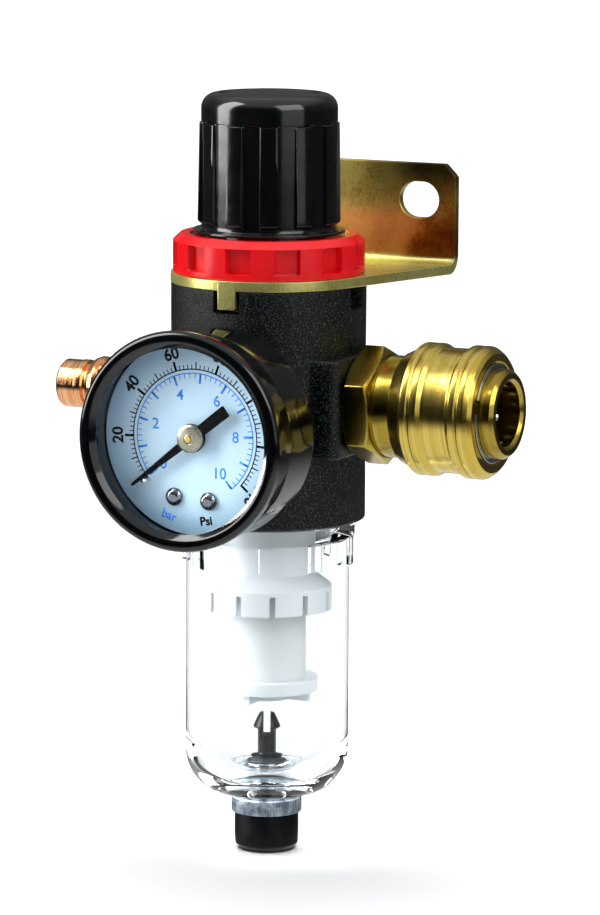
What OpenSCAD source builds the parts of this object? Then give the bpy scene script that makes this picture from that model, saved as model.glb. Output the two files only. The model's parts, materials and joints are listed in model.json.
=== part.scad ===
// Compact air filter-regulator with gauge, quick coupler, hose nipple and wall bracket.
// Everything is laid out about the body's upright axis, with heights measured from the
// bottom of the drain. place() then moves it so that the origin is midway between the two
// bracket slots, on the bracket's rear face: gauge towards -Y, outlet +X, inlet -X.

/* [Placement] */
// Distance from the body's axis to the wall behind the bracket
wall_gap = 31; // [30:0.5:33]
// Height of the bracket's slots
slot_z = 133; // [132:0.5:134]

/* [Body] */
// Radius of the body
body_r = 20; // [19.5:0.1:20.5]
// Height of the body's lower face
body_bottom = 69; // [68.5:0.1:69]
// Height of the body's upper face
body_top = 118; // [118:0.1:118.2]
// Height of the inlet and outlet axis
port_z = 94; // [93.5:0.1:94.5]
// How far the port bosses stand out from the axis
boss_x = 21.4; // [21:0.1:21.8]
// Width of a port boss
boss_w = 25.6; // [24:0.1:27]
// Height of a port boss
boss_h = 20.5; // [18:0.1:22]
// Radius of the threaded ports
port_r = 6.6; // [6.5:0.01:6.7]
// Width of the four notches in the upper rim
notch_w = 5.6; // [5:0.1:7]
// Depth of the notches
notch_h = 4.5; // [4.5:0.1:6]

/* [Bracket] */
// Thickness of the steel sheet
sheet_t = 2; // [1.9:0.05:2]
// Half width of the wall plate
plate_half_w = 28.7; // [27:0.1:30]
// Height of the wall plate's upper edge
plate_top = 140.6; // [140:0.1:142]
// Radius of the plate's corners
plate_corner_r = 3; // [2:0.1:4]
// Distance of each slot from the middle
slot_x = 20.5; // [19:0.1:21]
// Half width of a slot
slot_r = 3.75; // [3:0.05:4]
// Length of a slot from end to end
slot_length = 8.9; // [8.5:0.1:10]
// Width of the locating tab
tab_w = 3.9; // [3:0.1:4.5]

/* [Lock ring] */
// Outer radius of the lock ring
ring_r = 19.65; // [19:0.05:20]
// Height of the lock ring
ring_h = 8; // [7.8:0.1:8]
// Number of finger pockets
pockets = 12; // [8:1:14]

/* [Knob] */
// Height of the knob's lower face
knob_bottom = 128.2; // [128.2:0.1:128.4]
// Height of the knob's top
knob_top = 156.5; // [156:0.1:158]
// Radius over the grip panels at the top
grip_r = 14.3; // [14:0.05:14.6]
// Radius of the lower flange
flange_r = 15.6; // [15:0.1:16]
// Number of grip panels
panels = 12; // [8:1:14]

/* [Bowl and drain] */
// Radius of the clear bowl
bowl_r = 16.8; // [16.4:0.1:17]
// Thickness of the bowl's wall
bowl_wall = 2.2; // [2:0.1:2.4]
// Radius of the bowl's collar and lugs
bowl_collar_r = 17.9; // [17.5:0.1:18.5]
// Number of lugs below the collar
lugs = 8; // [6:1:12]
// Radius of the grey drain collar
drain_collar_r = 7.25; // [7.2:0.05:7.4]
// Radius of the drain button
drain_r = 6.6; // [6:0.1:6.6]

/* [Gauge] */
// Height of the gauge's axis
gauge_z = 90.2; // [89.8:0.1:90.6]
// Distance of the bezel's front from the body's axis
bezel_front = 42; // [42:0.1:42.5]
// Radius of the bezel
bezel_r = 22.2; // [21.8:0.1:22.5]
// Radius of the gauge's case
case_r = 21.4; // [21.2:0.1:21.6]
// Radius of the visible window
window_r = 18.6; // [18:0.1:19]
// Distance of the dial's face from the body's axis
dial_face = 33.6; // [33.5:0.05:33.7]
// How far the gauge is turned clockwise, in degrees
dial_turn = 5.5; // [0:0.5:10]

/* [Coupler] */
// Distance of the coupler's nose from the body's axis
nose_end = 53.9; // [53.5:0.1:54.5]
// Radius of the coupler's nose
nose_r = 9.1; // [9.1:0.01:9.12]
// Radius of the coupler's bore
bore_r = 6.5; // [6.4:0.05:6.5]
// Width of the hexagon across its flats
hex_af = 21.6; // [21:0.1:22]
// Radius over the sleeve's ridges
ridge_r = 13.5; // [13.2:0.1:14]
// Number of locking balls
balls = 6; // [4:1:8]

/* [Inlet nipple] */
// Distance of the nipple's tip from the body's axis
nipple_end = 47; // [46:0.1:48]
// Radius of the nipple's tip
nipple_r = 5.05; // [5:0.01:5.1]

/* [Hidden] */
$fn = 64;
cut = 0.5;            // how far a cutter runs past a face
thread_gap = 0.05;    // radial gap in a screwed or pressed joint
run_gap = 0.06;       // radial gap of a sliding fit

// Heights inside the body
socket_top = 81;      // roof of the bowl's socket
socket_r = 15.15;
seat_z = 84.5;        // underside of the valve seat
seat_top = 88;
valve_bore_r = 6;
guide_bore_r = 8.05;
chamber_z = 100;      // roof of the outlet chamber
piston_floor = 103;
piston_bore_r = 14.5;
bonnet_z = 109;       // lower end of the bonnet
bonnet_r = 16.1;
bonnet_shoulder = 127.6;
neck_r = 11.4;        // bonnet neck inside the knob
neck_top = 138;
spring_bore_r = 9.9;
stem_r = 1.5;
bleed_r = 0.8;
gauge_bore_r = 4.85;
port_depth = 9.4;     // where the ports' threads end, from the axis
drop_x = 11.6;        // the inlet's passage down to the bowl
drop_r = 2.6;

// Bracket
bend_r = 4;           // outside radius of the bend
ring_bottom = body_top + sheet_t;

// Lock ring
pocket_turn = 6.8;    // from the front to the first pocket, in degrees
pocket_w = 4.9;

// Adjuster
screw_r = 3;
nut_top = 134.2;
nut_h = 4;
nut_r = 8.6;
key_w = 3;
key_r = 10.6;
knob_hex_af = 8;
panel_turn = 25.5;    // from the front to the first grip panel, in degrees

// Piston and valve
piston_z = 104.4;
piston_h = 4;
piston_r = piston_bore_r - run_gap;
head_h = 2.9;         // height of the valve's head
cup_floor = 73;       // floor of the valve guide's cup

// Bowl
neck_h = 10;
lug_h = 6;
lug_w = 3;
lug_turn = 15;        // from the front to the first lug, in degrees
collar_h = 3.3;
shoulder_r = 10.5;
bowl_bottom = 11.4;
bowl_floor = 15.6;
spigot_r = 5.2;
spigot_z = 9.8;
drain_bore_r = 3.2;
drain_stem_r = 1.9;
drain_top = 7.4;      // upper face of the drain button

// Gauge
seam = 34.1;          // where the bezel meets the case
case_back = 21;
zero_angle = 133.5 - dial_turn; // the pointer's rest, counter-clockwise from the top
screw_circle_r = 12.95;
screw_spread = 17;
screw_turn = 3;
pinion_teeth = 12;
sector_teeth = 96;
tooth_module = 0.2;
gear_distance = tooth_module * (pinion_teeth + sector_teeth) / 2;
shaft_r = 0.6;
gear_z = 28.5;
gear_t = 0.8;

// Coupler
hex_start = boss_x + 0.1;
hex_end = 27.4;
hex_turn = 5.5;       // turns a flat of the hexagon towards the front
coupler_neck_r = 10.4;
neck_end = 38;
ball_x = 47.4;
ball_r = 1.5;
ball_ring_r = 7.6;
ball_turn = 15;       // where the first ball sits
valve_chamber_r = 6.2;
ring_x = 50;          // rear face of the sleeve's retaining ring
ring_gap = 2.8;       // opening of the retaining ring
ring_gap_turn = -104; // where the opening is
sleeve_back = 31.7;
sleeve_front = 50.7;
seal_x = 40.4;

// ---- Places ----

// From the body's axis and the drain's bottom to the origin at the bracket
module place() translate([0, -wall_gap, -slot_z]) children();

// Along the gauge's axis, with +Z towards the viewer and +Y up
module on_gauge() place() translate([0, 0, gauge_z]) rotate([90, 0, 0]) children();

// Along the outlet's axis, with +Z away from the body
module on_outlet() place() translate([0, 0, port_z]) rotate([0, 90, 0]) children();

// Along the inlet's axis, with +Z away from the body
module on_inlet() place() translate([0, 0, port_z]) rotate([0, -90, 0]) children();

// ---- Shapes that repeat ----

// A solid turned about Z between two heights
module rod(r, z0, z1) translate([0, 0, z0]) cylinder(r = r, h = z1 - z0);

// A tube between two heights
module tube(r_out, r_in, z0, z1) difference() {
    rod(r_out, z0, z1);
    rod(r_in, z0 - cut, z1 + cut);
}

// A hexagonal bar between two heights
module hex_bar(af, z0, z1) translate([0, 0, z0])
    cylinder(r = af / sqrt(3), h = z1 - z0, $fn = 6);

// A ring of round section
module o_ring(r, section, z) translate([0, 0, z])
    rotate_extrude() translate([r, 0]) circle(r = section, $fn = 32);

// Copies of a shape spaced evenly about Z
module around(count, start = 0) for (i = [0 : count - 1])
    rotate([0, 0, start + i * 360 / count]) children();

// Points of one ring of a coil's wire
function wire_ring(a, z, r, w, sides) = [
    for (s = [0 : sides - 1])
        let (t = 360 * s / sides, q = r + w * cos(t))
        [q * cos(a), q * sin(a), z + w * sin(t)]
];

// A helical spring between two heights
module coil(r, wire, turns, z0, z1, per_turn = 16, sides = 8) {
    rings = turns * per_turn;
    rise = (z1 - z0 - 2 * wire) / rings;
    points = [
        for (i = [0 : rings])
            each wire_ring(360 * i / per_turn, z0 + wire + i * rise, r, wire, sides)
    ];
    walls = [
        for (i = [0 : rings - 1], s = [0 : sides - 1])
            let (a = i * sides + s, b = i * sides + (s + 1) % sides)
            [a, a + sides, b + sides, b]
    ];
    first_end = [for (s = [0 : sides - 1]) s];
    last_end = [for (s = [sides - 1 : -1 : 0]) rings * sides + s];
    polyhedron(points, concat(walls, [first_end, last_end]));
}

// ---- Body and bonnet ----

module port_boss() translate([0, 0, port_z - boss_h / 2]) linear_extrude(boss_h) {
    corner = 1.6;
    translate([0, -boss_w / 2]) square([boss_x - corner, boss_w]);
    translate([0, corner - boss_w / 2]) square([boss_x, boss_w - 2 * corner]);
    for (side = [-1, 1]) translate([boss_x - corner, side * (boss_w / 2 - corner)])
        circle(r = corner);
}

// A threaded gauge port with a small bore through to the outlet chamber
module gauge_port_cut() translate([0, 0, gauge_z]) rotate([90, 0, 0]) {
    rod(gauge_bore_r, 12.2, body_r + 2);
    rod(1.6, 0, 13);
}

module body() color("dimgray") place() difference() {
    union() {
        rotate_extrude($fn = 96) polygon([
            [0, body_bottom], [body_r - 1, body_bottom], [body_r - 0.3, body_bottom + 0.3],
            [body_r, body_bottom + 1], [body_r, body_top], [0, body_top]
        ]);
        port_boss();
        mirror([1, 0, 0]) port_boss();
        for (side = [-1, 1]) translate([0, 0, gauge_z]) rotate([90 * side, 0, 0])
            rod(8, 14, case_back - 0.1);
    }
    rod(socket_r, body_bottom - cut, socket_top);
    rod(guide_bore_r, socket_top - cut, seat_z);
    rod(valve_bore_r, seat_z - cut, chamber_z);
    rod(stem_r + run_gap, chamber_z - cut, piston_floor + cut);
    translate([4, 0, 0]) rod(bleed_r, chamber_z - cut, piston_floor + cut);
    rod(piston_bore_r, piston_floor, bonnet_z + cut);
    rod(bonnet_r + thread_gap, bonnet_z, body_top + cut);
    translate([0, 0, port_z]) rotate([0, 90, 0]) {
        rod(port_r, port_depth, boss_x + 1);
        rod(4.5, 0, port_depth + cut);
    }
    translate([0, 0, port_z]) rotate([0, -90, 0]) rod(port_r, port_depth, boss_x + 1);
    translate([-drop_x, 0, 0]) rod(drop_r, socket_top - cut, port_z);
    gauge_port_cut();
    mirror([0, 1, 0]) gauge_port_cut();
    around(4) translate([body_r - 2.1, -notch_w / 2, body_top - notch_h])
        cube([4, notch_w, notch_h + cut]);
}

module bonnet() color("#202022") place() difference() {
    union() {
        rod(bonnet_r, bonnet_z, bonnet_shoulder);
        rod(neck_r, bonnet_shoulder - cut, neck_top);
    }
    rod(13.4, bonnet_z - cut, 124);
    rod(spring_bore_r, 124 - cut, neck_top - 2);
    rod(screw_r + run_gap, neck_top - 3, neck_top + cut);
    translate([-key_r - 0.15, -key_w / 2 - 0.15, 124 - cut])
        cube([2 * key_r + 0.3, key_w + 0.3, neck_top - 2 - 124 + cut]);
}

// ---- Lock ring and bracket ----

module lock_ring() color("crimson") place() {
    ring_top = ring_bottom + ring_h;
    chamfer = 1.6;
    difference() {
        rotate_extrude($fn = 96) polygon([
            [bonnet_r + thread_gap, ring_bottom], [ring_r - 0.3, ring_bottom],
            [ring_r, ring_bottom + 0.4], [ring_r, ring_top - chamfer],
            [ring_r - chamfer, ring_top], [bonnet_r + thread_gap, ring_top]
        ]);
        around(pockets, -90 + pocket_turn)
            translate([ring_r - 1.2, -pocket_w / 2, ring_bottom + 1.3])
                cube([2, pocket_w, 5.1]);
    }
}

// The flat outline of the bracket's horizontal flange
module flange_outline() {
    eye_r = body_r + 0.1;
    bend_y = wall_gap - bend_r;
    reach = norm([plate_half_w, bend_y]);
    tangent = atan2(bend_y, plate_half_w) - acos(eye_r / reach);
    circle(r = eye_r, $fn = 96);
    polygon([
        [-eye_r * cos(tangent), eye_r * sin(tangent)],
        [eye_r * cos(tangent), eye_r * sin(tangent)],
        [plate_half_w, bend_y], [-plate_half_w, bend_y]
    ]);
}

module wall_plate() difference() {
    corner = plate_corner_r;
    base_z = body_top + bend_r;
    translate([0, wall_gap, 0]) rotate([90, 0, 0]) linear_extrude(sheet_t) {
        translate([-plate_half_w, base_z])
            square([2 * plate_half_w, plate_top - corner - base_z]);
        translate([corner - plate_half_w, plate_top - corner - cut])
            square([2 * (plate_half_w - corner), corner + cut]);
        for (side = [-1, 1]) translate([side * (plate_half_w - corner), plate_top - corner])
            circle(r = corner);
    }
    for (side = [-1, 1]) translate([side * slot_x, wall_gap + 1, slot_z]) rotate([90, 0, 0]) {
        straight = slot_length / 2 - slot_r;
        for (end = [-1, 1]) translate([end * straight, 0, 0]) cylinder(r = slot_r, h = 4);
        translate([-straight, -slot_r, 0]) cube([2 * straight, 2 * slot_r, 4]);
    }
}

module bend() translate([-plate_half_w, wall_gap - bend_r, body_top + bend_r])
    rotate([0, 90, 0]) intersection() {
        tube(bend_r, bend_r - sheet_t, 0, 2 * plate_half_w);
        cube([2 * bend_r, 2 * bend_r, 2 * plate_half_w]);
    }

module bracket() color("goldenrod") place() {
    difference() {
        union() {
            translate([0, 0, body_top]) linear_extrude(sheet_t) flange_outline();
            translate([-tab_w / 2, -body_r - 0.1, body_top - 3.9])
                cube([tab_w, 1.7, 3.9 + sheet_t]);
        }
        rod(bonnet_r + 0.2, body_top - 8, ring_bottom + cut);
    }
    bend();
    wall_plate();
}

// ---- Adjuster ----

module knob() color("#18191c") place() {
    grip_top = 150.6;
    grip_bottom = 132;
    skirt_r = grip_r - 0.5;
    difference() {
        union() {
            rod(flange_r, knob_bottom, knob_bottom + 0.8);
            rod(skirt_r, knob_bottom, grip_top);
            rotate_extrude() {
                square_r = grip_r - 0.35;
                polygon([
                    [0, grip_top - cut], [square_r, grip_top - cut],
                    [square_r, knob_top - 3], [square_r - 3, knob_top], [0, knob_top]
                ]);
                translate([square_r - 3, knob_top - 3]) circle(r = 3, $fn = 48);
            }
            around(panels, -90 + panel_turn) grip_panel(grip_bottom, grip_top);
        }
        rod(10.9, knob_top - 0.3, knob_top + cut);
        rod(neck_r + 0.4, knob_bottom - cut, 142.2);
        hex_bar(knob_hex_af + 0.2, 142.2 - cut, 152.6);
    }
}

// One raised panel of the grip, a little wider at its foot
module grip_panel(z0, z1) intersection() {
    rod_r = grip_r + 0.3;
    translate([0, 0, z0]) cylinder(r1 = rod_r, r2 = grip_r, h = z1 - z0);
    translate([grip_r - 2, -1.85, z0]) cube([4, 3.7, z1 - z0]);
}

module adjusting_screw() color("silver") place() {
    rod(screw_r, 124, 142);
    rod(4.6, 134.7, neck_top - 2.1);
    rod(5, neck_top + 0.05, neck_top + 2);
    hex_bar(knob_hex_af, neck_top + 2, 149);
}

module spring_nut() color("goldenrod") place() difference() {
    union() {
        rod(nut_r, nut_top - nut_h, nut_top);
        translate([-key_r, -key_w / 2, nut_top - nut_h]) cube([2 * key_r, key_w, nut_h]);
    }
    rod(screw_r + run_gap, nut_top - nut_h - cut, nut_top + cut);
}

module main_spring() color("lightsteelblue") place()
    coil(7.3, 0.9, 6, piston_z + piston_h, nut_top - nut_h, per_turn = 18);

// ---- Piston and valve ----

module piston() color("whitesmoke") place() difference() {
    union() {
        rod(piston_r, piston_z, piston_z + piston_h);
        rod(6, piston_z + piston_h - cut, piston_z + piston_h + 1.2);
    }
    tube(piston_r + 1, 13, piston_z + 1.1, piston_z + 2.9);
    translate([3.4, 0, 0]) rod(0.6, piston_z - cut, piston_z + piston_h + 2);
}

module piston_o_ring() color("black") place() o_ring(13.72, 0.7, piston_z + 2);

module valve_seat() color("gold") place()
    tube(valve_bore_r - thread_gap, 3, seat_z, seat_top);

module valve_poppet() color("darkgoldenrod") place() {
    rod(4.4, seat_z - head_h, seat_z);
    rod(stem_r, seat_z - cut, piston_z);
    rod(1.6, seat_z - head_h - 5, seat_z - head_h + cut);
}

module valve_spring() color("silver") place()
    coil(2.7, 0.35, 5, cup_floor, seat_z - head_h, per_turn = 14, sides = 6);

module valve_guide() color("white") place() difference() {
    union() {
        rod(guide_bore_r - thread_gap, 70, seat_z - 0.1);
        rod(screw_r, 31, 70 + cut);
    }
    rod(6.4, cup_floor, seat_z + cut);
    around(4) translate([4.6, 0, 0]) rod(1, 70 - cut, cup_floor + cut);
}

// ---- Filter ----

module deflector() color("white", 0.6) place() difference() {
    rotate_extrude() polygon([
        [8.2, 80.8], [9.7, 80.8], [9.7, 58], [13.2, 55.5], [13.2, 50.5],
        [12.2, 50.5], [12.2, 55], [8.2, 57.4]
    ]);
    around(12) translate([11, -0.6, 50]) cube([4, 1.2, 4.6]);
}

module filter_element() color("ivory") place() tube(8, 5, 36, 70);

module baffle() color("white") place() difference() {
    union() {
        rod(10.5, 33.4, 36);
        around(4) translate([2, -0.6, 31.4]) cube([7.5, 1.2, 2.1]);
        rod(5, 31.4, 33.5);
    }
    rod(screw_r + thread_gap, 31, 37);
}

// ---- Bowl and drain ----

module bowl_profile() {
    inner_r = bowl_r - bowl_wall;
    shoulder_z = bowl_bottom + shoulder_r;
    difference() {
        union() {
            translate([0, shoulder_z]) square([bowl_r, body_bottom - shoulder_z - 1]);
            translate([0, bowl_bottom]) square([bowl_r - shoulder_r, shoulder_r + 1]);
            translate([bowl_r - shoulder_r, shoulder_z]) circle(r = shoulder_r, $fn = 96);
            translate([0, body_bottom - 0.05 - collar_h]) square([bowl_collar_r, collar_h]);
            translate([0, body_bottom - 1]) square([socket_r - 0.1, neck_h + 1]);
            translate([0, spigot_z]) square([spigot_r, 3]);
            translate([0, bowl_bottom]) square([7.4, 1.4]);
        }
        translate([0, bowl_floor + 8]) square([inner_r, 36]);
        translate([0, bowl_floor]) square([inner_r - 8, 9]);
        translate([inner_r - 8, bowl_floor + 8]) circle(r = 8, $fn = 96);
        translate([0, bowl_floor + 40]) square([13, 50]);
        translate([0, spigot_z - 1]) square([drain_bore_r, 10]);
        translate([-30, 0]) square([30, 90]);
    }
}

module bowl() color("lightcyan", 0.4) place() {
    rotate_extrude($fn = 96) bowl_profile();
    around(lugs, -90 + lug_turn)
        translate([bowl_r - 0.4, -lug_w / 2, body_bottom - collar_h - lug_h])
            cube([bowl_collar_r - bowl_r + 0.3, lug_w, lug_h]);
}

module bowl_o_ring() color("black") place() o_ring(14.1, 0.95, socket_top - 1);

module drain_collar() color("darkgray") place() difference() {
    rod(drain_collar_r, drain_top, bowl_bottom - 0.05);
    rod(spigot_r + thread_gap, drain_top, bowl_bottom + cut);
    rod(drain_r + 0.1, drain_top - cut, spigot_z - 0.1);
}

module drain_button() color("#18191c") place() difference() {
    rod(drain_r, 0, drain_top);
    rod(4.6, 4, drain_top + cut);
    rod(drain_stem_r + thread_gap, 1.5, 5);
    around(3, 30) translate([3.25, 0, 0]) rod(0.9, -cut, 5);
}

module drain_stem() color("#18191c") place() {
    fork_top = 28.2;
    difference() {
        union() {
            rod(drain_stem_r, 1.5, fork_top - 1.5);
            rotate_extrude($fn = 32) polygon([
                [0, 24.5], [drain_stem_r, 24.7], [2.8, 25.2], [2.1, 26.9],
                [1.5, fork_top], [0, fork_top]
            ]);
            rod(3.4, 17.7, 18.4);
        }
        translate([-0.72, -5, 23.6]) cube([1.45, 10, 6]);
    }
}

module drain_seal() color("black") place() difference() {
    translate([0, 0, bowl_floor]) cylinder(r1 = 4.4, r2 = 3.2, h = 2.05);
    rod(drain_stem_r + thread_gap, bowl_floor - 1, 19);
}

// ---- Gauge ----

module gauge_case() color("#18191c") on_gauge() difference() {
    rotate_extrude($fn = 96) polygon([
        [0, case_back], [case_r - 1.6, case_back], [case_r - 0.7, case_back + 0.4],
        [case_r - 0.2, case_back + 1.3], [case_r, seam - 0.05], [0, seam - 0.05]
    ]);
    rod(case_r - 1.2, case_back + 1, seam + cut);
    rod(5, case_back - cut, case_back + 2);
}

module gauge_bezel() color("#18191c") on_gauge() rotate_extrude($fn = 96) polygon([
    [case_r + 0.2, seam], [bezel_r, bezel_front - 1.4], [bezel_r - 0.25, bezel_front - 0.6],
    [bezel_r - 0.8, bezel_front - 0.1], [bezel_r - 1.2, bezel_front],
    [window_r + 1.2, bezel_front - 0.2], [window_r, bezel_front - 1.4],
    [window_r, bezel_front - 1.7], [19.9, bezel_front - 1.7], [19.9, 30.4],
    [case_r - 1.25, 30.4], [case_r - 1.25, seam]
]);

module gauge_window() color("white", 0.3) on_gauge()
    rod(19.85, bezel_front - 2.9, bezel_front - 1.7);

module at_dial_screws() for (side = [-1, 1])
    rotate([0, 0, -90 - screw_turn + side * screw_spread])
        translate([screw_circle_r, 0, 0]) children();

module gauge_dial() color("azure") on_gauge() difference() {
    rod(19.7, dial_face - 0.5, dial_face);
    rod(1.6, dial_face - 1, dial_face + 1);
    at_dial_screws() rod(1.05, dial_face - 1, dial_face + 1);
}

module dial_screws() color("silver") on_gauge() at_dial_screws() {
    rod(1, 30.4, dial_face);
    intersection() {
        translate([0, 0, dial_face - 0.75]) sphere(r = 1.95);
        rod(2, dial_face, dial_face + 2);
    }
}

module stop_pin() color("silver") on_gauge()
    rotate([0, 0, 90 + zero_angle + 4.2]) translate([13.6, 0, 0])
        rod(0.45, dial_face, 35.9);

module pointer() color("black") on_gauge() rotate([0, 0, 90 + zero_angle]) difference() {
    union() {
        translate([0, 0, 35]) linear_extrude(0.5)
            polygon([[-9.7, -1.2], [0, -1.2], [0, -0.75], [16.8, -0.4],
                     [16.8, 0.4], [0, 0.75], [0, 1.2], [-9.7, 1.2]]);
        rod(2.9, 34.3, 35.5);
    }
    rod(shaft_r + 0.01, 34, 36);
}

module pointer_hub() color("lightgray") on_gauge() difference() {
    rotate_extrude() polygon([[0, 35.52], [2.85, 35.52], [2.85, 36.1], [2.5, 36.5], [0, 36.7]]);
    rod(shaft_r + 0.01, 35, 37);
}

// A flat gear with short slim teeth
module gear_outline(teeth, first, last) {
    pitch_r = tooth_module * teeth / 2;
    step = 360 / teeth;
    root_r = pitch_r - 1.3 * tooth_module;
    tip_r = pitch_r + 0.8 * tooth_module;
    half_root = 0.24 * step * pitch_r * PI / 180;
    for (i = [first : last]) rotate(i * step)
        polygon([[root_r - 0.1, -half_root], [tip_r, -half_root * 0.45],
                 [tip_r, half_root * 0.45], [root_r - 0.1, half_root]]);
}

module pinion_shaft() color("gold") on_gauge() rotate([0, 0, -90]) {
    rod(shaft_r, 26.3, 36.8);
    translate([0, 0, gear_z]) linear_extrude(gear_t) {
        gear_outline(pinion_teeth, 0, pinion_teeth - 1);
        circle(r = tooth_module * (pinion_teeth / 2 - 1.3));
    }
}

module sector_gear() color("gold") on_gauge() translate([0, -gear_distance, 0]) {
    root_r = tooth_module * (sector_teeth / 2 - 1.3);
    half_step = 180 / sector_teeth;
    translate([0, 0, gear_z]) linear_extrude(gear_t) {
        rotate(90 - half_step) gear_outline(sector_teeth, -10, 1);
        intersection() {
            difference() {
                circle(r = root_r);
                circle(r = root_r - 1.6);
            }
            polygon([[0, 0], [20 * cos(51), 20 * sin(51)], [20 * cos(95), 20 * sin(95)]]);
        }
        rotate(73) translate([0, -0.9]) square([root_r - 0.8, 1.8]);
        rotate(253) translate([0, -0.8]) square([5, 1.6]);
        circle(r = 1.6);
    }
    rod(shaft_r, 26.3, 31.2);
}

module movement_plate(z) translate([0, 0, z]) difference() {
    translate([-5.2, -15.4, 0]) cube([10.4, 20.6, 0.8]);
    rod(shaft_r + run_gap, -1, 2);
    translate([0, -gear_distance, 0]) rod(shaft_r + run_gap, -1, 2);
}

module movement_plates() color("darkkhaki") on_gauge() difference() {
    union() {
        movement_plate(26.4);
        movement_plate(30.3);
        for (x = [-4, 4], y = [-14.2, 4]) translate([x, y, 0]) rod(1, 27, 30.5);
        at_dial_screws() rod(1.7, 30.3, dial_face - 0.52);
    }
    at_dial_screws() rod(1.02, 30.35, dial_face);
}

module bourdon_tube() color("darkgoldenrod") on_gauge() rotate([0, 0, 292])
    rotate_extrude(angle = 248) translate([16.5, 24.3]) {
        square([1, 2.6], center = true);
        for (side = [-1, 1]) translate([0, side * 1.3]) circle(r = 0.5, $fn = 24);
    }

module tube_link() color("silver") on_gauge() translate([0, 0, 27.4]) linear_extrude(0.5)
    polygon([[-16, -2], [-14.6, -2], [-5.4, -14.6], [-5.4, -15.4], [-6.2, -15.4], [-16, -3.6]]);

// A point on the hairspring's spiral, at a share of its length and a distance outwards
function spiral(share, out) =
    let (angle = 1080 * share, r = 1.1 + 2.2 * share + out)
    [r * cos(angle), r * sin(angle)];

// A flat spiral hairspring round the pinion's shaft
module hair_spring() color("silver") on_gauge() translate([0, 0, 29.6]) linear_extrude(0.3)
    polygon(concat([for (i = [0 : 48]) spiral(i / 48, 0)],
                   [for (i = [48 : -1 : 0]) spiral(i / 48, 0.15)]));

module gauge_socket() color("gold") on_gauge() difference() {
    union() {
        rod(gauge_bore_r - thread_gap, 13, case_back + 2);
        translate([-6, -18, case_back + 1.05]) cube([12, 23, 4.2]);
    }
    rod(1.5, 12, 25.2);
}

// ---- Coupler on the outlet ----

module coupler_body() color("gold") on_outlet() difference() {
    union() {
        rod(port_r - thread_gap, 12, hex_start + cut);
        intersection() {
            rotate([0, 0, hex_turn]) hex_bar(hex_af, hex_start, hex_end);
            rotate_extrude() polygon([
                [0, hex_start], [hex_af / 2, hex_start], [hex_af / 2 + 1.4, hex_start + 0.8],
                [hex_af / 2 + 1.4, hex_end - 0.8], [hex_af / 2, hex_end], [0, hex_end]
            ]);
        }
        rod(coupler_neck_r, hex_end - cut, neck_end);
    }
    rod(4.5, 11, 25);
    rod(valve_chamber_r, 24, neck_end + cut);
}

// The socket that the plug goes into, pressed against the hexagon's neck
module coupler_nose() color("gold") on_outlet() difference() {
    union() {
        rod(nose_r, neck_end, nose_end - 1);
        translate([0, 0, nose_end - 1]) cylinder(r1 = nose_r, r2 = nose_r - 1, h = 1);
    }
    rod(valve_chamber_r, neck_end - cut, seal_x + cut);
    rod(7.5, seal_x, seal_x + 2);
    rod(bore_r, seal_x + 1, nose_end + cut);
    rod(bore_r + 0.5, ball_x - 1.9, ball_x + 1.7);
    translate([0, 0, nose_end - 0.5]) cylinder(r1 = bore_r, r2 = bore_r + 0.6, h = 0.6);
    tube(nose_r + 1, nose_r - 0.45, ring_x - 0.05, ring_x + 0.85);
    around(balls, ball_turn) translate([bore_r - 1.5, 0, ball_x]) rotate([0, 90, 0])
        cylinder(r = ball_r + 0.05, h = 6);
}

module coupler_sleeve() color("gold") on_outlet() rotate_extrude($fn = 96) polygon([
    [coupler_neck_r + 0.1, sleeve_back], [11.1, sleeve_back], [12.6, 34.7],
    [13.1, 34.9], [ridge_r, 35.6], [ridge_r, 36.4], [13, 36.9], [ridge_r, 37.4],
    [ridge_r, 38.4], [12.7, 39.6], [12.7, 45.2], [13.1, 45.4], [ridge_r, 46.1],
    [ridge_r, 46.9], [13, 47.4], [ridge_r, 47.9], [ridge_r, 48.7], [13, 49.7],
    [12.1, sleeve_front], [10.4, sleeve_front], [10.4, 49.9], [nose_r + run_gap, 49.9],
    [nose_r + run_gap, 45.4], [coupler_neck_r + 0.1, 45.4]
]);

module sleeve_spring() color("silver") on_outlet()
    coil(9.78, 0.5, 3, neck_end, 45.4, per_turn = 18, sides = 6);

module retaining_ring() color("silver") on_outlet() difference() {
    tube(10.2, nose_r - 0.4, ring_x, ring_x + 0.8);
    rotate([0, 0, ring_gap_turn]) translate([0, -ring_gap / 2, ring_x - 1])
        cube([20, ring_gap, 3]);
}

module locking_balls() color("silver") on_outlet()
    around(balls, ball_turn) translate([ball_ring_r, 0, ball_x]) sphere(r = ball_r, $fn = 48);

module coupler_valve() color("gold") on_outlet() difference() {
    union() {
        translate([0, 0, 39.2]) cylinder(r1 = 5.95, r2 = 4.8, h = 1.15);
        rod(5.95, 37.9, 39.2);
        rod(4.2, 33, 38);
    }
    rod(3.4, 32, 37);
    around(2) translate([-6, -1.2, 34.5]) cube([12, 2.4, 2.4]);
}

module coupler_valve_spring() color("silver") on_outlet()
    coil(5.1, 0.45, 6, 25, 37.9, per_turn = 14, sides = 6);

module coupler_seal() color("black") on_outlet() tube(7.45, 4.4, seal_x, seal_x + 1.95);

// ---- Inlet nipple and rear plug ----

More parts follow.
